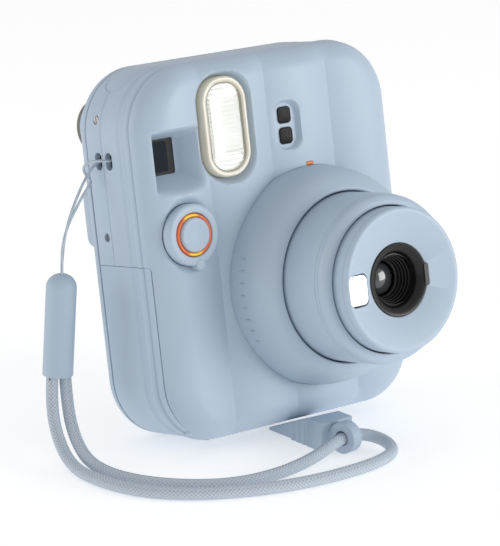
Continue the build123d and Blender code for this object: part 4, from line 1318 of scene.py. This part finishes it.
    def build(self) -> None:
        """Mould every outer piece and let it ride on its body."""
        for make, node, body in ((self.front_cover, "front_cover", "casing"),
                                 (self.rear_housing, "rear_housing", "casing"),
                                 (self.battery_door, "battery_door", "battery_door"),
                                 (self.top_trim, "top_trim", "casing")):
            finish_piece(make(), Finishes.SHELL, body, "shell_blue", (node,))
        for node, body in (("rear_top_cover", "casing"), ("back_door", "back_door"),
                           ("back_door_latch", "back_door_latch"),
                           ("back_door_hinge_ears", "casing"),
                           ("film_exit_flap", "film_exit_flap")):
            refined(node, Finishes.SHELL, body, "shell_blue")
        refined("side_screws", Finishes.STEEL, "casing", "steel", 0.08)
        refined("bottom_feet", Finishes.WARM_GREY, "casing", "warm_grey_plastic", 0.2)
        refined("eyepiece_ring", Finishes.WARM_GREY, "casing", "warm_grey_plastic", 0.3)
        refined("eyepiece_lens", Finishes.CLEAR, "casing", "clear_window", 0.1)


# ---- the lens ------------------------------------------------------------------------------------

@dataclass
class LensUnit:
    """The twist ring and the telescoping barrels.

    Attributes:
        centre: X and Z of the lens axis.
        dome: Radii of the twist ring's quarter ellipse, across and along the axis.
        lip: Radius and Y of the ring's front lip.
        base_y: Y of the ring's foot.
        bore: Radius of the ring's bore; not used.
        barrel: Radius of the outer barrel.
        inner: Radius of the inner barrel.
        nose_y: Y of the outer barrel's front.
        tip_y: Y of the inner barrel's front.
        bezel: Radius of the bezel's opening.
        glass: Radius of the front lens.
    """

    centre: Pair = LENS
    dome: Pair = (7.3, 18.0)
    lip: Pair = (29.1, -36.6)
    base_y: float = -18.6
    bore: float = 28.1
    barrel: float = 27.7
    inner: float = 23.5
    nose_y: float = -56.5
    tip_y: float = -63.0
    bezel: float = 11.9
    glass: float = 5.4

    def twist_ring(self) -> bpy.types.Object:
        """Spin the domed ring and add its row of small tick bars."""
        outer = arc((self.lip[0], self.base_y), (self.dome[0], -self.dome[1]), 0, 84, 24)
        lip = [(29.55, -36.62), (29.1, -36.75), (28.6, -36.7), (28.25, -36.4), (28.1, -35.9)]
        profile = outer + lip + [(28.1, -19.5), (34.2, -19.5), (34.4, self.base_y)]
        ring = spin("lens_ring_moulded", profile, self.centre, 160)
        bars = [self.tick(162 + i * 45 / 7) for i in range(8)]
        return join([ring] + bars, "lens_ring_moulded")

    def tick(self, degrees: float) -> bpy.types.Object:
        """Raised bar on the ring.

        Args:
            degrees: Its place round the axis.

        Returns:
            The bar.
        """
        level = math.radians(19)
        reach = self.lip[0] + self.dome[0] * math.cos(level)
        y = self.base_y - self.dome[1] * math.sin(level)
        slope = math.atan2(self.dome[1] * math.cos(level), self.dome[0] * math.sin(level))
        bar = box("tick", (-0.22, -1.5, -0.17), (0.22, 1.5, 0.17))
        round_edges(bar, 0.08, lambda middle, way: True, 2)
        turn = math.radians(degrees)
        lie = Matrix.Rotation(-turn, 4, "Y") @ Matrix.Translation((reach, y, 0))
        lie = lie @ Matrix.Rotation(math.pi / 2 - slope, 4, "Z")
        place = Matrix.Translation((self.centre[0], 0, self.centre[1]))
        bake_place(bar, place @ lie)
        return bar

    def outer_barrel(self) -> bpy.types.Object:
        """Spin the outer barrel with its rounded nose and fine steps."""
        radius, nose = self.barrel, self.nose_y
        profile = [(radius - 0.15, -27.0), (radius, -27.3), (radius, nose + 4.6),
                   (radius - 0.2, nose + 4.5), (radius - 0.2, nose + 3.4),
                   (radius - 0.36, nose + 3.3), (radius - 0.36, nose + 2.7)]
        profile += arc((radius - 2.6, nose + 2.6), (2.24, -2.6), 4, 90, 12)
        profile += [(self.inner + 0.75, nose), (self.inner + 0.45, nose + 0.25),
                    (self.inner + 0.45, nose + 2.0), (radius - 1.4, nose + 3.4),
                    (radius - 1.4, -27.0)]
        return spin("outer_barrel_moulded", profile, self.centre, 144)

    def inner_barrel(self) -> bpy.types.Object:
        """Spin the inner barrel with its shallow conical front."""
        radius, tip, mouth = self.inner, self.tip_y, self.bezel + 0.1
        profile = [(radius, -43.0), (radius, tip + 2.35), (radius - 0.14, tip + 2.25),
                   (radius - 0.14, tip + 1.9), (radius, tip + 1.8)]
        profile += arc((radius - 1.0, tip + 1.0), (1.0, -1.0), 0, 90, 8)
        profile += [(radius - 1.5, tip), (radius - 1.9, tip + 0.12), (mouth + 0.25, tip + 2.2),
                    (mouth, tip + 2.4), (mouth, tip + 4.2), (radius - 1.4, tip + 2.6),
                    (radius - 1.4, -43.0)]
        barrel = spin("inner_barrel_moulded", profile, self.centre, 144)
        pocket = prism("mirror_pocket", RoundedRect(-4.7, 46.3, 9.0, 10.6, 2.5), -55, -66)
        notch = prism("tab_notch", RoundedRect(24.5, 46.8, 2.0, 7.4, 0.7), -55, -66)
        cut(barrel, [pocket, notch])
        return barrel

    def bezel_cone(self) -> bpy.types.Object:
        """Spin the stepped black bezel that narrows to the front lens."""
        ridge, rings = (8.3, -57.6), 5
        profile = [(self.bezel, -60.6), (self.bezel - 0.25, -60.95), (self.bezel - 0.7, -60.9)]
        profile += arc((self.bezel - 0.7, ridge[1]), (self.bezel - 0.7 - ridge[0], -3.1), 100, 170,
                       8)[1:]
        profile += [(ridge[0] + 0.1, ridge[1] - 0.5), (ridge[0] - 0.25, ridge[1] - 0.55)]
        for step in range(rings):
            reach = ridge[0] - 0.4 - (ridge[0] - self.glass - 0.8) * step / rings
            y = ridge[1] + 0.2 + 5.4 * step / rings
            profile += [(reach, y), (reach - 0.05, y + 0.75), (reach - 0.3, y + 0.85)]
        profile += [(self.glass + 0.2, -52.0), (self.glass + 0.1, -50.0), (self.bezel, -50.0)]
        return spin("lens_bezel_moulded", profile, self.centre, 96)

    def bezel_tab(self) -> bpy.types.Object:
        """Black tab that shows at the right of the bezel."""
        return prism("bezel_tab", RoundedRect(24.6, 46.8, 1.7, 7.1, 0.6), -57, -61.2, 6)

    def front_glass(self) -> bpy.types.Object:
        """Spin the convex front lens."""
        crown = arc((0.001, -50.2), (self.glass, -2.6), 90, 0, 16)
        profile = crown + [(self.glass, -50.0), (0.001, -50.0)]
        return spin("front_lens_moulded", profile, self.centre, 72)

    def mirror(self) -> bpy.types.Object:
        """Mould the small mirror that is set in the front."""
        piece = prism("selfie_mirror_moulded", RoundedRect(-4.9, 46.3, 8.2, 9.8, 2.1), -60.5,
                      -61.7)
        round_edges(piece, 0.3, lambda middle, way: middle.y < -61.6, 3)
        return piece

    def build(self) -> None:
        """Make every piece of the lens."""
        blue, slot = Finishes.LENS_BLUE, "shell_blue"
        for make, body in ((self.twist_ring, "lens_ring"), (self.outer_barrel, "outer_barrel"),
                           (self.inner_barrel, "inner_barrel")):
            finish_piece(make(), blue, body, slot, (body,))
        finish_piece(self.bezel_cone(), Finishes.GLOSS_BLACK, "inner_barrel", "black_plastic",
                     ("lens_bezel",), smooth=35)
        finish_piece(self.bezel_tab(), Finishes.GLOSS_BLACK, "inner_barrel", "black_plastic")
        finish_piece(self.front_glass(), Finishes.LENS_GLASS, "inner_barrel", "lens_glass",
                     ("front_lens_element",))
        finish_piece(self.mirror(), Finishes.MIRROR, "inner_barrel", "mirror", ("selfie_mirror",))
        refined("shutter_plate", Finishes.BLACK, "inner_barrel", "black_plastic", 0.1)
        refined("lens_guide_tube", Finishes.BLACK, "casing", "black_plastic", 0.15)


# ---- buttons, windows and flash ------------------------------------------------------------------

@dataclass
class Controls:
    """Shutter button, timer lever, lit ring, sensors, index mark and finder.

    Attributes:
        centre: X and Z of the button.
        nub_deg: Place of the timer lever's nub round it.
    """

    centre: Pair = BUTTON
    nub_deg: float = 278.0

    def timer_ring(self) -> bpy.types.Object:
        """Spin the timer ring and add its nub."""
        profile = [(7.1, -19.0), (7.1, -21.9)] + arc((7.7, -21.9), (0.6, -0.5), 180, 90, 4)[1:]
        profile += arc((8.9, -21.3), (1.1, -1.1), 90, 0, 8) + [(10.0, -19.0)]
        ring = spin("timer_lever_moulded", profile, self.centre, 96)
        turn = math.radians(self.nub_deg)
        at = (self.centre[0] + 9.9 * math.cos(turn), self.centre[1] + 9.9 * math.sin(turn))
        nub = tube("nub", at, 1.9, -19.0, -22.6, 40)
        round_edges(nub, 0.5, lambda middle, way: middle.y < -22.5, 3)
        return join([ring, nub], "timer_lever_moulded")

    def lit_ring(self) -> bpy.types.Object:
        """Spin the translucent ring round the button."""
        profile = [(6.8, -18.7), (6.8, -22.1)] + arc((6.3, -22.0), (0.5, -0.5), 0, 180, 8)
        profile += [(5.8, -18.7)]
        return spin("glow_ring_moulded", profile, self.centre, 96)

    def button(self) -> bpy.types.Object:
        """Spin the button's slightly dished cap."""
        profile = [(0.001, -22.9), (2.6, -23.0), (3.9, -23.3)]
        profile += arc((4.75, -22.5), (0.85, -0.95), 90, 0, 8)
        profile += [(5.6, -14.0), (0.001, -14.0)]
        return spin("shutter_button_moulded", profile, self.centre, 96)

    def sensor(self, name: str, z: float) -> list[bpy.types.Object]:
        """Mould a sensor's window and the thin frame round it.

        Args:
            name: Name of the window.
            z: Its height.

        Returns:
            The window and the frame.
        """
        window = prism(name, RoundedRect(SENSORS[0], z, 5.4, 5.4, 1.4), -17.3, -18.9)
        round_edges(window, 0.25, lambda middle, way: middle.y < -18.8, 3)
        frame_shape = RoundedRect(SENSORS[0], z, 5.85, 5.85, 1.6)
        rim = ring_shell(f"{name}_rim", frame_shape,
                         [(0, -17.4), (0, -18.6), (0.1, -18.7), (0.2, -18.6), (0.2, -17.4)], 8, 1)
        return [window, rim]

    def finder(self) -> list[bpy.types.Object]:
        """Mould the finder's dark window and the tinted pane in it."""
        window = prism("viewfinder_window_moulded", RoundedRect(-40.2, 93.5, 13.4, 12.7, 1.0),
                       -9.6, -10.9)
        pane = prism("viewfinder_pane", RoundedRect(-41.1, 93.5, 9.2, 9.8, 0.7), -10.4, -11.05)
        return [window, pane]

    def build(self) -> None:
        """Make every control."""
        blue = Finishes.SHELL
        finish_piece(self.timer_ring(), blue, "timer_lever", "shell_blue", ("timer_lever",))
        finish_piece(self.lit_ring(), Finishes.GLOW, "casing", "orange_plastic", ("glow_ring",))
        finish_piece(self.button(), blue, "shutter_button", "shell_blue", ("shutter_button",))
        for side, rise in (("upper", SENSOR_RISE), ("lower", -SENSOR_RISE)):
            window, rim = self.sensor(f"sensor_{side}_moulded", SENSORS[1] + rise)
            finish_piece(window, Finishes.SMOKED, "casing", "smoked_window",
                         (f"sensor_window_{side}",))
            finish_piece(rim, blue, "casing", "shell_blue")
        window, pane = self.finder()
        finish_piece(window, Finishes.SMOKED, "casing", "smoked_window", ("viewfinder_window",))
        finish_piece(pane, Finishes.PANE, "casing", "smoked_window")
        mark = prism("index_mark_moulded", RoundedRect(*MARK, 2.9, 1.1, 0.5), -19.2, -20.5)
        round_edges(mark, 0.2, lambda middle, way: middle.y < -20.4, 3)
        finish_piece(mark, Finishes.ORANGE, "casing", "orange_plastic", ("index_mark",))


@dataclass
class FlashUnit:
    """The flash: cream frame, ribbed glass, trough, tube and end caps.

    Attributes:
        shape: Outline of the frame.
        front_y: Y of the glass's front, before its setback.
    """

    shape: RoundedRect = FLASH
    front_y: float = -20.0

    def frame(self) -> bpy.types.Object:
        """Mould the cream frame."""
        section = [(0.1, -14.6), (0.1, -19.3), (0.3, -19.8), (0.7, -20.05), (1.5, -20.1),
                   (1.95, -19.9), (2.1, -19.5), (2.1, -14.6)]
        return ring_shell("flash_bezel_moulded", self.shape, section, 16, 3)

    def glass(self) -> bpy.types.Object:
        """Mould the ribbed glass in front of the tube."""
        plate = prism("flash_window_moulded", self.inset(2.15), self.front_y + 1.4,
                      self.front_y + 0.2, 14)
        round_edges(plate, 0.35, lambda middle, way: middle.y < self.front_y + 0.3, 3)
        return plate

    def trough(self) -> bpy.types.Object:
        """Mould the bright trough behind the glass, with its floor."""
        section = [(0.0, -18.3), (0.9, -15.4), (2.6, -12.4), (4.6, -10.4), (4.9, -10.0),
                   (2.3, -12.2), (0.3, -15.4)]
        sides = ring_shell("flash_reflector_moulded", self.inset(2.5), section, 14, 3)
        floor = prism("trough_floor", self.inset(6.9), -9.6, -10.4, 5)
        return join([sides, floor], "flash_reflector_moulded")

    def inset(self, by: float) -> RoundedRect:
        """Outline of the frame moved inwards."""
        whole = self.shape
        return RoundedRect(whole.x, whole.z, whole.width - 2 * by, whole.height - 2 * by,
                           whole.radius - by)

    def inner_parts(self) -> dict[str, bpy.types.Object]:
        """Make the dark strip beside the tube and the two white caps."""
        low, high = self.shape.z - 9.6, self.shape.z + 9.6
        strip = box("flash_strip", (self.shape.x + 1.6, -14.6, low),
                    (self.shape.x + 2.5, -13.2, high))
        caps = [prism(f"flash_cap_{side}", RoundedRect(self.shape.x, z, 12.2, 5.0, 2.2), -15.5,
                      -18.4, 8) for side, z in (("upper", high + 2.0), ("lower", low - 2.0))]
        return {"strip": strip, "caps": join(caps, "flash_end_caps")}

    def build(self) -> None:
        """Make every piece of the flash."""
        finish_piece(self.frame(), Finishes.CREAM, "casing", "cream_plastic", ("flash_bezel",))
        finish_piece(self.glass(), Finishes.RIBBED, "casing", "clear_window", ("flash_window",))
        finish_piece(self.trough(), Finishes.SILVER, "casing", "mirror", ("flash_reflector",))
        parts = self.inner_parts()
        finish_piece(parts["strip"], Finishes.BLACK, "casing", "black_plastic")
        finish_piece(parts["caps"], Finishes.CAPS, "casing", "white_plastic")
        refined("flash_tube", Finishes.TUBE, "casing", "white_plastic", 0.1)


# ---- the strap -----------------------------------------------------------------------------------

STRAP_ROUTE = [
    (-73.6, 5.8, 26.0), (-75.2, 4.4, 16.5), (-77.4, -2.4, 7.2), (-80.6, -14.5, 2.2),
    (-82.0, -30.0, 2.2), (-77.6, -46.5, 2.2), (-66.5, -59.0, 2.2), (-50.5, -67.5, 2.2),
    (-32.5, -72.3, 2.2), (-14.5, -73.2, 2.2), (1.0, -71.2, 2.2), (10.6, -66.6, 2.5),
    (12.8, -57.6, 3.6), (7.4, -51.6, 5.0), (-3.4, -53.6, 5.2), (-15.5, -57.8, 3.2),
    (-32.0, -60.8, 2.2), (-50.0, -60.0, 2.2), (-65.0, -50.0, 2.2), (-74.6, -34.0, 2.2),
    (-76.0, -18.0, 3.0), (-72.8, -5.4, 7.4), (-70.0, 2.8, 15.5), (-69.0, 5.2, 26.0)]
THREAD_ROUTE = [
    (-69.5, 5.4, 59.5), (-69.2, 5.2, 67.6), (-66.8, 5.4, 76.2), (-62.4, 6.4, 84.0),
    (-56.6, 8.0, 90.8), (-52.6, 8.8, 93.4), (-49.2, 8.4, 93.9), (-48.9, 3.4, 94.6),
    (-52.6, 3.1, 94.8), (-55.4, 5.6, 95.0), (-57.6, 9.6, 93.0), (-56.0, 11.2, 89.6),
    (-55.0, 8.4, 87.4), (-58.2, 5.6, 87.2), (-62.8, 5.4, 81.6), (-66.6, 6.6, 74.0),
    (-68.6, 6.8, 66.4), (-68.5, 6.6, 59.5)]


@dataclass
class Cord:
    """A cord along a given route, as a tube with its own map.

    Attributes:
        name: Name of the piece.
        route: Points from end to end, in millimetres.
        radius: Radius of the cord.
        length: Its measured length, in metres; not used.
        sides: Sides of the tube.
        pitch: Length along the cord of one unit of its map, in metres.
        step: Distance between the tube's rings, in millimetres.
    """

    name: str
    route: Sequence[Point]
    radius: float
    length: float
    sides: int = 16
    pitch: float = 0.02
    step: float = 1.2

    def centreline(self) -> list[Vector]:
        """Points of the smooth line that the route's curve follows, in metres."""
        begin()
        bpy.ops.curve.primitive_nurbs_path_add()
        line = bpy.context.object
        line.name = f"{self.name}_line"
        curve = line.data
        curve.splines.clear()
        spline = curve.splines.new("NURBS")
        spline.points.add(len(self.route) - 1)
        for point, place in zip(spline.points, self.route):
            point.co = (*(STRAP @ Vector(place)), 1.0)
        spline.order_u, spline.use_endpoint_u = 3, True
        curve.resolution_u = 12
        mesh = bpy.data.meshes.new_from_object(line)
        points = [v.co.copy() for v in mesh.vertices]
        bpy.data.objects.remove(line)
        bpy.data.meshes.remove(mesh)
        return self.evened(points)

    def evened(self, points: Sequence[Vector]) -> list[Vector]:
        """Space points evenly.

        Args:
            points: Points along the line.

        Returns:
            Points about one step apart.
        """
        total = sum((b - a).length for a, b in zip(points, points[1:]))
        count = round(total / (self.step * MM))
        gap, made, left = total / count, [points[0]], total / count
        for first, last in zip(points, points[1:]):
            length, done = (last - first).length, 0.0
            while length - done >= left - 1e-12 and len(made) < count:
                done += left
                made.append(first.lerp(last, done / length))
                left = gap
            left -= length - done
        return made + [points[-1]]

    def build(self) -> tuple[bpy.types.Object, list[Vector]]:
        """Sweep the tube.

        Returns:
            The tube and the points that it follows.
        """
        points = self.centreline()
        begin()
        bpy.ops.mesh.primitive_circle_add(vertices=self.sides, radius=self.radius * MM,
                                          fill_type="NGON")
        piece = named(self.name)
        around = [v.co.copy() for v in piece.data.vertices]
        ways = [(points[min(i + 1, len(points) - 1)] - points[max(i - 1, 0)]).normalized()
                for i in range(len(points))]
        turn = ways[0].to_track_quat("Z", "Y")
        for vertex, spot in zip(piece.data.vertices, around):
            vertex.co = points[0] + turn @ spot
        with editing(piece, "FACE"):
            bpy.ops.mesh.select_all(action="SELECT")
            for i in range(1, len(points)):
                bpy.ops.mesh.extrude_region_move()
                turn = ways[i - 1].rotation_difference(ways[i]) @ turn
                mesh = bmesh.from_edit_mesh(piece.data)
                moved = [v for v in mesh.verts if v.select]
                for vertex, spot in zip(moved, around):
                    vertex.co = points[i] + turn @ spot
                bmesh.update_edit_mesh(piece.data)
            bpy.ops.mesh.select_all(action="SELECT")
            bpy.ops.mesh.normals_make_consistent(inside=False)
        self.map(piece, len(points))
        return piece, points

    def map(self, piece: bpy.types.Object, rings: int) -> None:
        """Lay the tube's map: U in turns along it and V once round it.

        Args:
            piece: The tube.
            rings: Count of its rings; not used.
        """
        layer = piece.data.uv_layers[0] if piece.data.uv_layers else (
            piece.data.uv_layers.new(name="along"))
        per_unit = self.step * MM / self.pitch
        for face in piece.data.polygons:
            spots = [divmod(v, self.sides) for v in face.vertices]
            wraps = max(s[1] for s in spots) - min(s[1] for s in spots) > self.sides / 2
            for loop, (ring, side) in zip(face.loop_indices, spots):
                turn = side + (self.sides if wraps and side < self.sides / 2 else 0)
                layer.data[loop].uv = (ring * per_unit, turn / self.sides)


@dataclass
class Strap:
    """The wrist strap: braid, thin cord, cap and the wedge it carries.

    Attributes:
        braid: The braided cord that goes round the wrist.
        thread: The thin cord that ties it to the lug.
    """

    braid: Cord
    thread: Cord

    def build_cords(self) -> None:
        """Lay both cords first."""
        for cord, finish, node in ((self.thread, Finishes.THREAD, "strap_thread"),
                                   (self.braid, Finishes.BRAID, "strap_braid")):
            piece, points = cord.build()
            finish_piece(piece, finish, "casing", "cord_fabric", (node,), Place.ROW, 60)
            start = STRAP @ Vector(cord.route[0])
            [tuple(p) for p in points]

    def build(self) -> None:
        """Dress the cap and the wedge."""
        refined("strap_cap", Finishes.SOFT, "casing", "soft_blue", 0.25)
        wedge = refined("angle_wedge", Finishes.SOFT, "casing", "soft_blue", 0.35)
        cut(wedge, self.grooves())
        activate(wedge)
        bpy.ops.object.shade_smooth_by_angle(angle=math.radians(28))

    @staticmethod
    def grooves() -> list[bpy.types.Object]:
        """Round cutters for the wedge's upright side grooves and cross ribs."""
        cutters = []
        for y in (-21.5, -24.3, -27.1, -29.9, -34.0, -36.8, -39.6):
            high = 0.9 + 8.9 * (y + 19.5) / -21.5
            for x in (-5.2, 8.1):
                begin()
                bpy.ops.mesh.primitive_cylinder_add(vertices=20, radius=0.75, depth=30,
                                                    location=(x, y, 5))
                cutters.append(named("side_groove"))
            cutters.append(crossbar("cross_groove", (1.5, y, high + 0.25), 0.5, 30, 20))
        for cutter in cutters:
            bake_place(cutter, STRAP)
        return cutters


# ---- what is inside ------------------------------------------------------------------------------

class Inside(Enum):
    """CAD nodes inside the body, each with its finish, body and slot."""

    BLACK = (Finishes.BLACK, "black_plastic",
             (("battery_tray", "casing"), ("exposure_frame", "casing"), ("film_pack", "casing"),
              ("roller_bearings", "casing"), ("viewfinder_tube", "casing"),
              ("flash_capacitor", "casing"), ("shutter_blade", "shutter_blade"),
              ("counter_bridge", "back_door")))
    STEEL = (Finishes.STEEL, "steel",
             (("battery_contacts", "casing"), ("back_door_hinge_pin", "casing"),
              ("motor", "casing"), ("gear_bracket", "casing"), ("flap_pin", "casing"),
              ("pack_springs", "back_door"), ("drive_roller", "drive_roller"),
              ("pinch_roller", "pinch_roller")))
    BRASS = (Finishes.BRASS, "brass", (("motor_pinion", "motor_pinion"),))
    WHITE = (Finishes.WHITE, "white_plastic",
             (("idler_gear", "idler_gear"), ("counter_dial", "counter_dial")))
    CELLS = (Finishes.CELL, "battery_wrap", (("battery_outer", "casing"),
                                             ("battery_inner", "casing")))
    BOARD = (Finishes.BOARD, "circuit_green", (("main_board", "casing"),))
    WINDOW = (Finishes.SMOKED, "smoked_window", (("film_pack_window", "back_door"),))


def build_inside() -> None:
    """Soften and dress every piece inside the body."""
    for group in Inside:
        finish, slot, nodes = group.value
        for node, body in nodes:
            refined(node, finish, body, slot, 0.08)


def dress_hidden_nodes() -> None:
    """Give each CAD node the finish of the piece that stands for it."""
    standing = {name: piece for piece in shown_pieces() for name in (piece.get("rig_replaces") or [])}
    for name, node in frame["nodes"].items():
        piece = standing.get(name)
        node.data.materials.clear()
        node.data.materials.append(piece.data.materials[0] if piece
                                   else Finishes.BLACK.material())


# ---- studio --------------------------------------------------------------------------------------

@dataclass
class Studio:
    """Camera, floor, soft lights and a white world.

    Attributes:
        camera_at: Place of the camera.
        camera_right: Its direction to the right.
        camera_up: Its direction upwards.
        focal: Its focal length.
        sensor: Width of its sensor.
        aim_z: Height that the lights face.
        world: Strength of the white world.
        floor_glow: Strength of the floor's own light.
        lights: Name, place, side and power of each light.
    """

    camera_at: Point = (-0.6205, -0.7711, 0.3323)
    camera_right: Point = (0.785, -0.619, 0.0)
    camera_up: Point = (0.168, 0.213, 0.963)
    focal: float = 206.4
    sensor: float = 36.0
    aim_z: float = 0.055
    world: float = 0.62
    floor_glow: float = 0.42
    lights: tuple[tuple[str, Point, float, float], ...] = (
        ("key", (0.75, -1.0, 0.2), 0.6, 7.0),
        ("fill", (-0.9, 0.55, 0.3), 0.4, 1.6),
        ("top", (0.3, 0.1, 1.1), 0.8, 0.5))

    def add_camera(self) -> None:
        """Add the camera that the scene is seen through."""
        begin()
        bpy.ops.object.camera_add(location=self.camera_at)
        camera = bpy.context.object
        right = Vector(self.camera_right).normalized()
        up = (Vector(self.camera_up) - Vector(self.camera_up).project(right)).normalized()
        turn = Matrix((right, up, right.cross(up))).transposed()
        camera.rotation_euler = turn.to_euler()
        camera.data.lens, camera.data.sensor_width = self.focal, self.sensor
        bpy.context.scene.camera = camera

    def add_light(self, name: str, at: Point, size: float, power: float) -> None:
        """Add a soft square light that faces the body.

        Args:
            name: Name of the light.
            at: Its place.
            size: Length of its side.
            power: Its power in watts.
        """
        begin()
        bpy.ops.object.light_add(type="AREA", location=at)
        light = bpy.context.object
        light.name = name
        light.data.size, light.data.energy = size, power
        away = Vector(at) - Vector((0, 0, self.aim_z))
        light.rotation_euler = away.to_track_quat("Z", "Y").to_euler()

    def build(self) -> None:
        """Add the floor, the lights and the world."""
        begin()
        bpy.ops.mesh.primitive_plane_add(size=8.0)
        floor = named("floor")
        paper = bpy.data.materials.new("white_paper")
        paper.use_nodes = True
        shader = paper.node_tree.nodes["Principled BSDF"]
        shader.inputs["Base Color"].default_value = (0.8, 0.8, 0.8, 1)
        shader.inputs["Roughness"].default_value = 0.9
        shader.inputs["Emission Color"].default_value = (1, 1, 1, 1)
        shader.inputs["Emission Strength"].default_value = self.floor_glow
        floor.data.materials.append(paper)
        floor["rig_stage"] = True
        for light in self.lights:
            self.add_light(*light)
        world = bpy.data.worlds.new("white_room")
        world.use_nodes = True
        back = world.node_tree.nodes["Background"]
        back.inputs["Color"].default_value = (1, 1, 1, 1)
        back.inputs["Strength"].default_value = self.world
        bpy.context.scene.world = world
        bpy.context.scene.view_settings.view_transform = "Standard"


def write_sizes() -> None:
    boxes = {"cad": CAD_BOX, "visual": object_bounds()}
    plain = {name: [list(map(float, corner)) for corner in box_] for name, box_ in boxes.items()}


def main() -> None:
    """Build the whole picture."""
    logging.basicConfig(level=logging.INFO, format="%(message)s")
    studio = Studio()
    studio.add_camera()
    strap = Strap(Cord("strap_braid_woven", STRAP_ROUTE, 2.0, 0.3259, 20),
                  Cord("strap_thread_woven", THREAD_ROUTE, 0.45, 0.1002, 10, step=0.5))
    strap.build_cords()
    Shell().build()
    LensUnit().build()
    Controls().build()
    FlashUnit().build()
    strap.build()
    build_inside()
    dress_hidden_nodes()
    studio.build()
    write_sizes()


if __name__ == "__main__":
    main()
